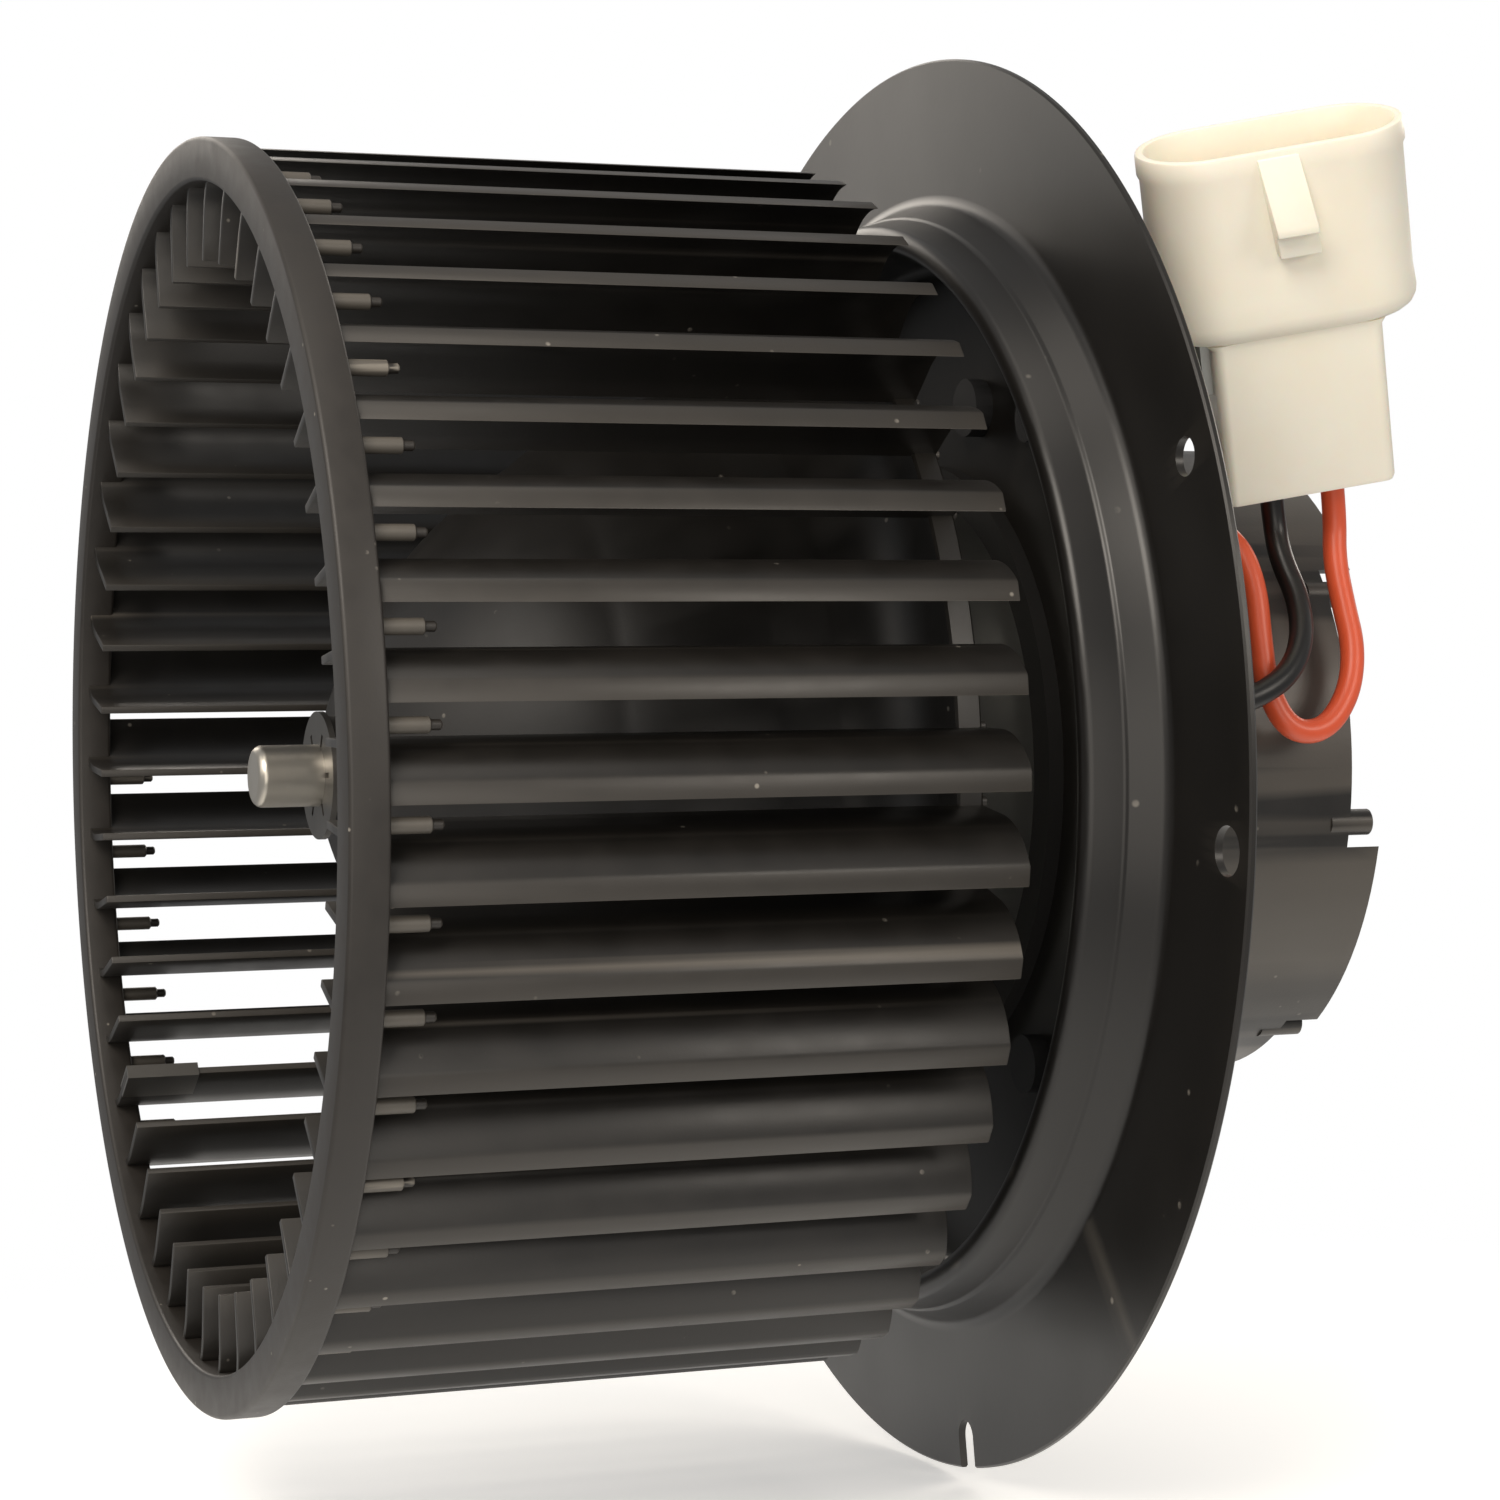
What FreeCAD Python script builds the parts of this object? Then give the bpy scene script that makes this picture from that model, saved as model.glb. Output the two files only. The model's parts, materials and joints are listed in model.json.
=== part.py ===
import FreeCAD, Part
import math
import os

import Sketcher
from FreeCAD import Placement, Rotation, Vector

# Vented blower motor with its forward-curved wheel, millimetres.
# The motor axis is Y. The wheel's open intake end faces -Y and the motor cover +Y.
# The origin is on the axis, in the front face of the mounting plate's flat rim.

doc = FreeCAD.newDocument("blower_motor_wheel")
sheet = doc.addObject("Spreadsheet::Sheet", "Dims")

DIMENSIONS = [
    # wheel
    ("wheelRadius", 80.0), ("wheelFront", -99.8), ("rimWidth", 4.7), ("rimInner", 74.6),
    ("bladeCount", 45), ("bladeOuter", 78.8), ("bladeInner", 64.5), ("bladeSetback", 1.4),
    ("bladeThick", 1.0), ("bladeBendStart", 70.6), ("bladeBend", 9.6), ("bladeRise", 7.0),
    ("bladeStart", -2.3), ("wheelBack", -19.5),
    ("ringOuter", 65.5), ("ringInner", 61.5), ("ringWidth", 3.3),
    ("domeRadius", 49.0), ("domeWall", 2.0), ("flareStart", -31.0), ("flareCurve", 12.0),
    ("shoulderRadius", 40.7), ("shoulderY", -55.0), ("crownRadius", 10.0), ("crownY", -80.4),
    ("crownCurve", 62.0), ("shoulderCurve", 34.0), ("shoulderEndY", -38.0),
    ("bossRadius", 7.6), ("bossFront", -82.3), ("sleeveEnd", -60.0),
    ("pegRadius", 0.95), ("pegLength", 5.2), ("pegTipRadius", 0.6), ("pegTipLength", 1.3),
    ("pegCircle", 77.0), ("pegLag", 1.6), ("backPegCircle", 63.6), ("backPegLength", 1.2),
    ("clipRadius", 8.2), ("clipThick", 0.8), ("clipSlit", 0.7),
    ("balanceLength", 10.0), ("balanceWall", 0.5), ("balanceDepth", 5.0), ("balanceTurn", 216.0),
    # shaft and armature
    ("shaftRadius", 3.97), ("shaftFront", -91.5), ("shaftBack", 43.0), ("shaftBevel", 0.8),
    ("flatDepth", 0.15), ("flatEnd", -58.0), ("flatTilt", 16.0),
    ("coreRadius", 21.5), ("coreFront", -34.0), ("coreBack", -2.0), ("slotCount", 12),
    ("slotRadius", 2.3), ("slotCircle", 16.5), ("slotMouth", 1.6),
    ("windingInner", 8.0), ("windingOuter", 19.5), ("windingFront", -41.0), ("windingBack", 5.0),
    ("commutatorRadius", 11.0), ("commutatorFront", 6.0), ("commutatorBack", 18.5),
    ("segmentGap", 0.6), ("segmentDepth", 1.2), ("washerRadius", 5.5), ("washerThick", 0.8),
    ("washerFront", -43.3), ("washerRear", 33.6),
    # motor can and bearings
    ("canRadius", 36.0), ("canWall", 1.8), ("canFront", -46.0), ("canBack", 36.0),
    ("noseRadius", 10.0), ("noseFront", -54.5), ("seatRadius", 8.05), ("noseHole", 5.0),
    ("bearingBall", 8.0), ("bearingLength", 8.5), ("bearingGap", 0.03),
    ("retainerInner", 6.4), ("retainerOuter", 14.0), ("retainerThick", 0.6), ("retainerSlit", 1.2),
    ("magnetInner", 22.4), ("magnetFront", -40.0), ("magnetBack", 4.0), ("magnetHalfGap", 10.0),
    ("springWidth", 12.0), ("springThick", 0.8),
    ("endThick", 1.5), ("endNoseBack", 46.0),
    # brush gear
    ("brushPlateFront", 20.0), ("brushPlateThick", 1.6), ("brushPlateInner", 13.0),
    ("brushPlateOuter", 34.2), ("brushWidth", 8.0), ("brushHeight", 5.5), ("brushLength", 12.0),
    ("brushLift", 11.02), ("holderWall", 0.6), ("holderStart", 13.0), ("holderEnd", 22.5),
    ("brushMiddle", 12.5), ("leafThick", 0.4), ("chokeRadius", 2.6), ("chokeLength", 12.0),
    ("chokeCircle", 24.0),
    # mounting plate
    ("plateRadius", 94.4), ("plateThick", 1.0), ("wallFoot", 75.4), ("beadOuter", 72.7),
    ("beadInner", 69.2), ("beadHeight", 9.6), ("stepDrop", 4.6), ("stepIn", 0.7),
    ("dishRadius", 67.6), ("dishDepth", 3.0), ("plateHole", 38.5),
    ("footCurve", 1.9), ("beadCurve", 1.5), ("dishCurve", 2.0),
    ("slotAngle", -81.5), ("plateSlotWidth", 4.6), ("plateSlotEnd", 88.1),
    ("smallHole", 2.35), ("smallHoleCircle", 87.6), ("smallHoleAngle", 105.2),
    ("largeHole", 2.95), ("largeHoleCircle", 89.2), ("largeHoleAngle", 74.9),
    # motor cover
    ("coverRadius", 43.0), ("coverWall", 2.0), ("coverStep", 43.1), ("coverBack", 47.8),
    ("coverFloor", 38.4), ("coverFloorThick", 2.0), ("coverFloorHole", 12.0),
    ("notchHalf", 18.4), ("notchCount", 4), ("notchAngle", 9.5),
    ("postRadius", 1.7), ("postCircle", 41.6), ("postAngle", 21.3), ("postTop", 46.4),
    ("lugRadius", 5.0), ("lugCircle", 50.0), ("lugDepth", 10.0), ("lugCount", 3), ("lugAngle", 60.0),
    ("screwRadius", 2.0), ("screwHead", 3.8), ("screwHeadHeight", 2.4), ("screwLength", 9.0),
    ("collarThick", 2.0),
    # connector, in its own frame: length along x, camera side -y, mouth at z = 0
    ("plugX", 58.0), ("plugY", 24.1), ("plugZ", 77.4),
    ("shellHalf", 16.8), ("shellRound", 8.4), ("shellDepth", 24.1), ("shellWall", 1.6),
    ("socketDepth", 18.0), ("tailHalf", 10.9), ("tailHalfWidth", 7.0), ("tailDepth", 45.7),
    ("rampLeft", -1.8), ("rampRight", 3.8), ("rampProud", 3.4), ("rampTop", -0.6), ("rampFoot", -12.4),
    ("terminalWidth", 6.3), ("terminalThick", 0.8), ("terminalTop", -9.0), ("terminalOffset", 8.0),
    ("leadDiameter", 3.1), ("leadOffset", 4.0),
    ("bracketWidth", 6.8), ("bracketThick", 1.2), ("bracketReach", 26.0),
    ("footLength", 16.0), ("footHeight", 12.0), ("footX", 28.5), ("footZ", 39.5),
    ("rivetCircle", 55.0), ("rivetAngle", 53.13), ("rivetRadius", 1.6), ("rivetHead", 3.0),
    ("rivetHeadThick", 1.0),
    ("grommetRadius", 3.2), ("grommetLength", 6.0),
]


class Size:
    """A dimension that keeps the sheet expression it came from."""

    def __init__(self, number, text):
        self.number = number
        self.text = text

    def combine(self, sign, other, number):
        return Size(number, "(" + self.text + " " + sign + " " + sized(other).text + ")")

    def __add__(self, other):
        return self.combine("+", other, self.number + sized(other).number)

    def __sub__(self, other):
        return self.combine("-", other, self.number - sized(other).number)

    def __mul__(self, other):
        return self.combine("*", other, self.number * sized(other).number)

    def __truediv__(self, other):
        return self.combine("/", other, self.number / sized(other).number)

    def __neg__(self):
        return sized(0) - self


def sized(value):
    if isinstance(value, Size):
        return value
    return Size(value, repr(value))


class Dims:
    """Every sheet cell as an attribute that carries its number and its alias."""


d = Dims()
for row, (alias, number) in enumerate(DIMENSIONS, start=1):
    sheet.set("A%d" % row, alias)
    sheet.set("B%d" % row, repr(number))
    sheet.setAlias("B%d" % row, alias)
    setattr(d, alias, Size(number, "Dims." + alias))
doc.recompute()

ALONG_AXIS = Rotation(Vector(1, 0, 0), -90)     # turns a primitive's own Z on to +Y
nodes = []


def bind(target, name, value):
    target.setExpression(name, sized(value).text)


def newBody(label, separate=False):
    body = doc.addObject("PartDesign::Body", "Body_" + label)
    body.Label = label
    body.AllowCompound = separate
    nodes.append(body)
    return body


def originPart(body, role):
    return [part for part in body.Origin.OriginFeatures if part.Role == role][0]


def newSketch(body, role, offset=0):
    sketch = body.newObject("Sketcher::SketchObject", "Sketch_" + body.Label)
    sketch.AttachmentSupport = [(originPart(body, role), "")]
    sketch.MapMode = "FlatFace"
    bind(sketch, "AttachmentOffset.Base.z", offset)
    return sketch


def fixPoint(sketch, edge, end, x, y):
    for kind, value in (("DistanceX", x), ("DistanceY", y)):
        index = sketch.addConstraint(Sketcher.Constraint(kind, -1, 1, edge, end, value.number))
        sketch.setExpression("Constraints[%d]" % index, value.text)


def arcThrough(start, end, radius):
    """The short arc from start to end; a positive radius turns left."""
    chord = end - start
    middle = (start + end) * 0.5
    left = Vector(-chord.y, chord.x, 0).normalize()
    reach = math.sqrt(radius ** 2 - chord.Length ** 2 / 4)
    side = math.copysign(1, radius)
    centre = middle + left * reach * side
    crown = centre - left * abs(radius) * side
    return Part.Arc(start, crown, end), (2 if side < 0 else 1)


def drawOutline(sketch, corners):
    """Close an outline of (x, y) corners; a third value is the radius of an arc that ends there."""
    corners = [tuple(sized(value) for value in corner) for corner in corners]
    points = [Vector(corner[0].number, corner[1].number, 0) for corner in corners]
    ends = []
    for index, corner in enumerate(corners):
        start = points[index - 1]
        if len(corner) == 3:
            arc, startEnd = arcThrough(start, points[index], corner[2].number)
            edge = sketch.addGeometry(arc, False)
            ends.append((edge, startEnd, 3 - startEnd))
            radius = sketch.addConstraint(Sketcher.Constraint("Radius", edge, abs(corner[2].number)))
            sketch.setExpression("Constraints[%d]" % radius, "abs(" + corner[2].text + ")")
        else:
            edge = sketch.addGeometry(Part.LineSegment(start, points[index]), False)
            ends.append((edge, 1, 2))
    for index, (edge, startEnd, farEnd) in enumerate(ends):
        after = ends[(index + 1) % len(ends)]
        sketch.addConstraint(Sketcher.Constraint("Coincident", edge, farEnd, after[0], after[1]))
        fixPoint(sketch, edge, farEnd, corners[index][0], corners[index][1])


def drawCircle(sketch, x, y, radius):
    x, y, radius = sized(x), sized(y), sized(radius)
    circle = Part.Circle(Vector(x.number, y.number, 0), Vector(0, 0, 1), radius.number)
    edge = sketch.addGeometry(circle, False)
    fixPoint(sketch, edge, 3, x, y)
    index = sketch.addConstraint(Sketcher.Constraint("Radius", edge, radius.number))
    sketch.setExpression("Constraints[%d]" % index, radius.text)


def rectangle(x0, y0, x1, y1):
    return [(x0, y0), (x1, y0), (x1, y1), (x0, y1)]


def spin(body, corners, kind="PartDesign::Revolution"):
    """Revolve an outline of (radius, y) corners round the Y axis, as material or as a groove."""
    sketch = newSketch(body, "XY_Plane")
    drawOutline(sketch, corners)
    feature = body.newObject(kind, "Spin")
    feature.Profile = sketch
    feature.ReferenceAxis = (sketch, ["V_Axis"])
    feature.Angle = 360
    return feature


def across(body, front, back, kind="PartDesign::Pad"):
    """Start a pad or pocket between two planes square to the Y axis and return it with its sketch."""
    front, back = sized(front), sized(back)
    sketch = newSketch(body, "XZ_Plane", -front)
    feature = body.newObject(kind, "Across")
    feature.Profile = sketch
    feature.Reversed = kind == "PartDesign::Pad"
    bind(feature, "Length", back - front)
    return feature, sketch


def upright(body, base, top, kind="PartDesign::Pad"):
    """Start a pad or pocket between two levels of the body's own Z."""
    base, top = sized(base), sized(top)
    sketch = newSketch(body, "XY_Plane", base)
    feature = body.newObject(kind, "Upright")
    feature.Profile = sketch
    feature.Reversed = kind == "PartDesign::Pocket"
    bind(feature, "Length", top - base)
    return feature, sketch


def repeatRound(body, features, count, whole=False):
    pattern = body.newObject("PartDesign::PolarPattern", "Round")
    if whole:
        pattern.TransformMode = "Whole shape"
    else:
        pattern.Originals = features
    pattern.Axis = (originPart(body, "Y_Axis"), [""])
    pattern.Angle = 360
    bind(pattern, "Occurrences", count)
    body.Tip = pattern
    return pattern


def turnAboutAxis(body, degrees):
    """Turn a finished body about the motor axis, counted from +X towards +Z."""
    body.Placement = Placement(Vector(), Rotation(Vector(0, 1, 0), -sized(degrees).number))


def cylinder(name, radius, length, place, rotation=ALONG_AXIS):
    solid = doc.addObject("Part::Cylinder", name)
    bind(solid, "Radius", radius)
    bind(solid, "Height", length)
    solid.Placement = Placement(place, rotation)
    return solid


def group(label, pieces):
    compound = doc.addObject("Part::Compound", label)
    compound.Label = label
    compound.Links = pieces
    nodes.append(compound)
    return compound


def onCircle(radius, degrees, y=0.0):
    angle = math.radians(degrees)
    return Vector(radius * math.cos(angle), y, radius * math.sin(angle))


# ---- wheel: rim, blades and hub of one moulding, kept as three simple solids ----

def makeRim():
    body = newBody("wheel_rim")
    front = d.wheelFront
    back = d.wheelFront + d.rimWidth
    spin(body, rectangle(d.rimInner, front, d.wheelRadius, back))
    pegs = []
    for radius, start, end in ((d.pegRadius, back, back + d.pegLength),
                               (d.pegTipRadius, back + d.pegLength,
                                back + d.pegLength + d.pegTipLength)):
        feature, sketch = across(body, start, end)
        drawCircle(sketch, d.pegCircle, 0, radius)
        pegs.append(feature)
    repeatRound(body, pegs, d.bladeCount)
    # each peg stands just behind the outer edge of a blade
    turnAboutAxis(body, d.bladeStart - d.pegLag)


def makeBlades():
    """One blade: flat from its inner edge, then a bend down to the wheel's outside."""
    body = newBody("wheel_blades", separate=True)
    low = d.bladeRise - d.bladeBend
    inside = d.bladeBend - d.bladeThick
    reach = d.bladeOuter - d.bladeBendStart
    outerTip = low.number + math.sqrt(d.bladeBend.number ** 2 - reach.number ** 2)
    innerTip = low.number + math.sqrt(inside.number ** 2 - reach.number ** 2)
    outerText = "(%s + sqrt(%s ^ 2 - %s ^ 2))" % (low.text, d.bladeBend.text, reach.text)
    innerText = "(%s + sqrt(%s ^ 2 - %s ^ 2))" % (low.text, inside.text, reach.text)
    feature, sketch = across(body, d.wheelFront + d.bladeSetback, d.wheelBack)
    drawOutline(sketch, [
        (d.bladeInner, d.bladeRise - d.bladeThick),
        (d.bladeInner, d.bladeRise),
        (d.bladeBendStart, d.bladeRise),
        (d.bladeOuter, Size(outerTip, outerText), -d.bladeBend),
        (d.bladeOuter, Size(innerTip, innerText)),
        (d.bladeBendStart, d.bladeRise - d.bladeThick, inside),
    ])
    rimBack = d.wheelFront + d.rimWidth
    spin(body, rectangle(d.rimInner, d.wheelFront, d.wheelRadius, rimBack), "PartDesign::Groove")
    spin(body, rectangle(d.ringInner, d.wheelBack - d.ringWidth, d.ringOuter, d.wheelBack),
         "PartDesign::Groove")
    repeatRound(body, [], d.bladeCount, whole=True)
    turnAboutAxis(body, d.bladeStart)


def makeHub():
    """Bell over the motor: boss, crown, shoulder, straight wall, flare and the ring that holds the blades."""
    body = newBody("wheel_hub")
    wall = d.domeWall
    ringFront = d.wheelBack - d.ringWidth
    spin(body, [
        (d.shaftRadius, d.bossFront),
        (d.bossRadius, d.bossFront),
        (d.bossRadius, d.crownY),
        (d.crownRadius, d.crownY),
        (d.shoulderRadius, d.shoulderY, d.crownCurve),
        (d.domeRadius, d.shoulderEndY, d.shoulderCurve),
        (d.domeRadius, d.flareStart),
        (d.ringInner, ringFront, -d.flareCurve),
        (d.ringOuter, ringFront),
        (d.ringOuter, d.wheelBack),
        (d.ringInner, d.wheelBack),
        (d.domeRadius - wall, d.flareStart + 1.6, d.flareCurve + wall),
        (d.domeRadius - wall, d.shoulderEndY + 0.4),
        (d.shoulderRadius - 1.6, d.shoulderY + 1.3, wall - d.shoulderCurve),
        (d.crownRadius - 0.6, d.crownY + wall, wall - d.crownCurve),
        (d.bossRadius, d.crownY + wall),
        (d.bossRadius, d.sleeveEnd),
        (d.shaftRadius, d.sleeveEnd),
    ])
    peg, sketch = across(body, d.wheelBack, d.wheelBack + d.backPegLength)
    drawCircle(sketch, d.backPegCircle, 0, d.pegTipRadius)
    repeatRound(body, [peg], d.bladeCount)
    turnAboutAxis(body, d.bladeStart - d.pegLag)


def makeRetainingClip():
    body = newBody("hub_retaining_clip")
    front = d.bossFront - d.clipThick
    spin(body, rectangle(d.shaftRadius, front, d.clipRadius, d.bossFront))
    slit, sketch = across(body, front, d.bossFront, "PartDesign::Pocket")
    half = d.clipSlit / 2
    drawOutline(sketch, rectangle(0, -half, d.clipRadius * 0.72, half))
    repeatRound(body, [slit], 6)


def makeBalanceClip():
    """Spring steel U pushed over the inner edge of one blade."""
    body = newBody("balance_clip")
    front = d.wheelFront + d.bladeSetback
    wall = d.balanceWall
    low = d.bladeRise - d.bladeThick
    inner = d.bladeInner - wall
    outer = d.bladeInner + d.balanceDepth
    feature, sketch = across(body, front, front + d.balanceLength)
    drawOutline(sketch, [
        (inner, low - wall), (outer, low - wall), (outer, low), (d.bladeInner, low),
        (d.bladeInner, d.bladeRise), (outer, d.bladeRise), (outer, d.bladeRise + wall),
        (inner, d.bladeRise + wall),
    ])
    turnAboutAxis(body, d.bladeStart + d.balanceTurn)


# ---- shaft and armature ----

def makeShaft():
    body = newBody("motor_shaft")
    r = d.shaftRadius
    bevel = d.shaftBevel
    spin(body, [
        (0, d.shaftFront), (r - bevel, d.shaftFront), (r, d.shaftFront + bevel),
        (r, d.shaftBack - bevel), (r - bevel, d.shaftBack), (0, d.shaftBack),
    ])
    flat, sketch = across(body, d.shaftFront, d.flatEnd, "PartDesign::Pocket")
    drawOutline(sketch, rectangle(r - d.flatDepth, -r, r + 1, r))
    body.Tip = flat
    turnAboutAxis(body, d.flatTilt)


def makeCore():
    body = newBody("armature_core")
    spin(body, rectangle(d.shaftRadius, d.coreFront, d.coreRadius, d.coreBack))
    slot, sketch = across(body, d.coreFront, d.coreBack, "PartDesign::Pocket")
    drawCircle(sketch, d.slotCircle, 0, d.slotRadius)
    mouth, sketch = across(body, d.coreFront, d.coreBack, "PartDesign::Pocket")
    half = d.slotMouth / 2
    drawOutline(sketch, rectangle(d.slotCircle, -half, d.coreRadius + 1, half))
    repeatRound(body, [slot, mouth], d.slotCount)


def makeWindings():
    body = newBody("armature_windings", separate=True)
    spin(body, rectangle(d.windingInner, d.windingFront, d.windingOuter, d.coreFront))
    spin(body, rectangle(d.windingInner, d.coreBack, d.windingOuter, d.windingBack))
    bar, sketch = across(body, d.coreFront, d.coreBack)
    drawCircle(sketch, d.slotCircle, 0, d.slotRadius)
    repeatRound(body, [bar], d.slotCount)


def makeCommutator():
    body = newBody("commutator")
    spin(body, rectangle(d.shaftRadius, d.commutatorFront, d.commutatorRadius, d.commutatorBack))
    gap, sketch = across(body, d.commutatorFront, d.commutatorBack, "PartDesign::Pocket")
    half = d.segmentGap / 2
    drawOutline(sketch, rectangle(d.commutatorRadius - d.segmentDepth, -half,
                                  d.commutatorRadius + 1, half))
    repeatRound(body, [gap], d.slotCount)


def makeThrustWashers():
    washers = []
    for name, y in (("front", d.washerFront.number), ("rear", d.washerRear.number)):
        disc = cylinder("ThrustDisc_" + name, d.washerRadius, d.washerThick, Vector(0, y, 0))
        bore = cylinder("ThrustBore_" + name, d.shaftRadius, d.washerThick, Vector(0, y, 0))
        washer = doc.addObject("Part::Cut", "ThrustWasher_" + name)
        washer.Base = disc
        washer.Tool = bore
        washers.append(washer)
    group("thrust_washers", washers)


# ---- motor can, magnets and bearings ----

def makeCan():
    body = newBody("motor_can")
    wall = d.canWall
    spin(body, [
        (d.noseHole, d.noseFront), (d.noseRadius, d.noseFront), (d.noseRadius, d.canFront),
        (d.canRadius, d.canFront), (d.canRadius, d.canBack), (d.canRadius - wall, d.canBack),
        (d.canRadius - wall, d.canFront + wall), (d.seatRadius, d.canFront + wall),
        (d.seatRadius, d.noseFront + wall), (d.noseHole, d.noseFront + wall),
    ])


def makeMagnets():
    body = newBody("field_magnets", separate=True)
    outer = d.canRadius - d.canWall
    half = d.magnetHalfGap
    magnet, sketch = across(body, d.magnetFront, d.magnetBack)
    outerX = math.sqrt(outer.number ** 2 - half.number ** 2)
    innerX = math.sqrt(d.magnetInner.number ** 2 - half.number ** 2)
    outerEdge = Size(outerX, "sqrt(%s ^ 2 - %s ^ 2)" % (outer.text, half.text))
    innerEdge = Size(innerX, "sqrt(%s ^ 2 - %s ^ 2)" % (d.magnetInner.text, half.text))
    drawOutline(sketch, [
        (-outerEdge, half, outer), (-innerEdge, half), (0, d.magnetInner, -d.magnetInner),
        (innerEdge, half, -d.magnetInner), (outerEdge, half), (0, outer, outer),
    ])
    repeatRound(body, [magnet], 2)


def makeMagnetSprings():
    """Bent steel strips that wedge the two magnets apart."""
    body = newBody("magnet_springs", separate=True)
    half = d.magnetHalfGap
    thick = d.springThick
    inner = d.magnetInner + 1.2
    strip, sketch = across(body, d.magnetFront + 6, d.magnetFront + 6 + d.springWidth)
    drawOutline(sketch, [
        (inner, -half), (inner + 8, -half), (inner + 8, -half + thick), (inner + thick, -half + thick),
        (inner + thick, half - thick), (inner + 8, half - thick), (inner + 8, half), (inner, half),
    ])
    repeatRound(body, [strip], 2)


def makeBearing(label, middle):
    """Self-aligning sintered bush: a truncated ball on the shaft."""
    body = newBody(label)
    bore = d.shaftRadius + d.bearingGap
    ball = d.bearingBall
    half = d.bearingLength / 2
    shoulder = Size(math.sqrt(ball.number ** 2 - half.number ** 2),
                    "sqrt(%s ^ 2 - %s ^ 2)" % (ball.text, half.text))
    middle = sized(middle)
    spin(body, [
        (bore, middle - half), (shoulder, middle - half), (shoulder, middle + half, ball),
        (bore, middle + half),
    ])


def makeRetainer(label, front):
    body = newBody(label)
    front = sized(front)
    back = front + d.retainerThick
    spin(body, rectangle(d.retainerInner, front, d.retainerOuter, back))
    slit, sketch = across(body, front, back, "PartDesign::Pocket")
    half = d.retainerSlit / 2
    drawOutline(sketch, rectangle(0, -half, d.retainerOuter * 0.8, half))
    repeatRound(body, [slit], 8)


def makeEndPlate():
    body = newBody("rear_end_plate")
    thick = d.endThick
    spin(body, [
        (0, d.endNoseBack), (0, d.endNoseBack - thick), (d.seatRadius, d.endNoseBack - thick),
        (d.seatRadius, d.canBack), (d.canRadius, d.canBack), (d.canRadius, d.canBack + thick),
        (d.noseRadius, d.canBack + thick), (d.noseRadius, d.endNoseBack),
    ])


# ---- brush gear ----

def makeBrushPlate():
    body = newBody("brush_plate")
    back = d.brushPlateFront + d.brushPlateThick
    spin(body, rectangle(d.brushPlateInner, d.brushPlateFront, d.brushPlateOuter, back))
    notch, sketch = across(body, d.brushPlateFront, back, "PartDesign::Pocket")
    drawOutline(sketch, rectangle(d.brushPlateOuter - 3, -4, d.brushPlateOuter + 1, 4))
    repeatRound(body, [notch], 4)
    turnAboutAxis(body, 45)


def brushBlock(label, inner, outer, margin):
    """A pair of rectangular blocks, one each side of the commutator."""
    body = newBody(label, separate=True)
    half = d.brushWidth / 2 + margin
    tall = d.brushHeight / 2 + margin
    block, sketch = across(body, d.brushMiddle - half, d.brushMiddle + half)
    drawOutline(sketch, rectangle(inner, -tall, outer, tall))
    return body, block


def makeBrushes():
    body, block = brushBlock("carbon_brushes", d.brushLift, d.brushLift + d.brushLength, sized(0))
    repeatRound(body, [block], 2)


def makeBrushHolders():
    """Brass boxes, open at both ends, on the plate's front face."""
    body, block = brushBlock("brush_holders", d.holderStart, d.holderEnd, d.holderWall)
    half = d.brushWidth / 2
    tall = d.brushHeight / 2
    hole, sketch = across(body, d.brushMiddle - half, d.brushMiddle + half, "PartDesign::Pocket")
    drawOutline(sketch, rectangle(d.holderStart - 1, -tall, d.holderEnd + 1, tall))
    tab, sketch = across(body, d.brushMiddle + half + d.holderWall, d.brushPlateFront)
    drawOutline(sketch, rectangle(d.holderStart + 2, -tall, d.holderEnd - 2, tall))
    repeatRound(body, [block, hole, tab], 2)


def makeBrushSprings():
    """Leaf springs that press on the outer ends of the brushes."""
    body = newBody("brush_springs", separate=True)
    start = d.brushLift + d.brushLength
    leaf, sketch = across(body, d.brushMiddle - 2, d.brushMiddle + 2)
    thick = d.leafThick
    drawOutline(sketch, [
        (start, -2.0), (start + thick, -2.0), (start + thick, 2.0), (start + 8, 12.0),
        (start + 8 - thick, 12.0), (start, 2.6),
    ])
    repeatRound(body, [leaf], 2)


def makeChokes():
    rods = []
    for index, angle in enumerate((90.0, 270.0)):
        place = onCircle(d.chokeCircle.number, angle, d.brushMiddle.number - 4.5)
        rods.append(cylinder("Choke%d" % index, d.chokeRadius, d.chokeLength, place))
    group("choke_coils", rods)


# ---- mounting plate and motor cover ----

def roundEdges(body, places, radius):
    """Fillet the circular edges whose (radius, y) lies at one of the places."""
    doc.recompute()
    base = body.Tip
    names = []
    for index, edge in enumerate(base.Shape.Edges, start=1):
        if not isinstance(edge.Curve, Part.Circle):
            continue
        for x, y in places:
            sameRadius = abs(edge.Curve.Radius - sized(x).number) < 0.01
            sameLevel = abs(edge.Curve.Center.y - sized(y).number) < 0.01
            if sameRadius and sameLevel:
                names.append("Edge%d" % index)
    fillet = body.newObject("PartDesign::Fillet", "Rounding")
    fillet.Base = (base, names)
    bind(fillet, "Radius", radius)
    body.Tip = fillet


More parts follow.
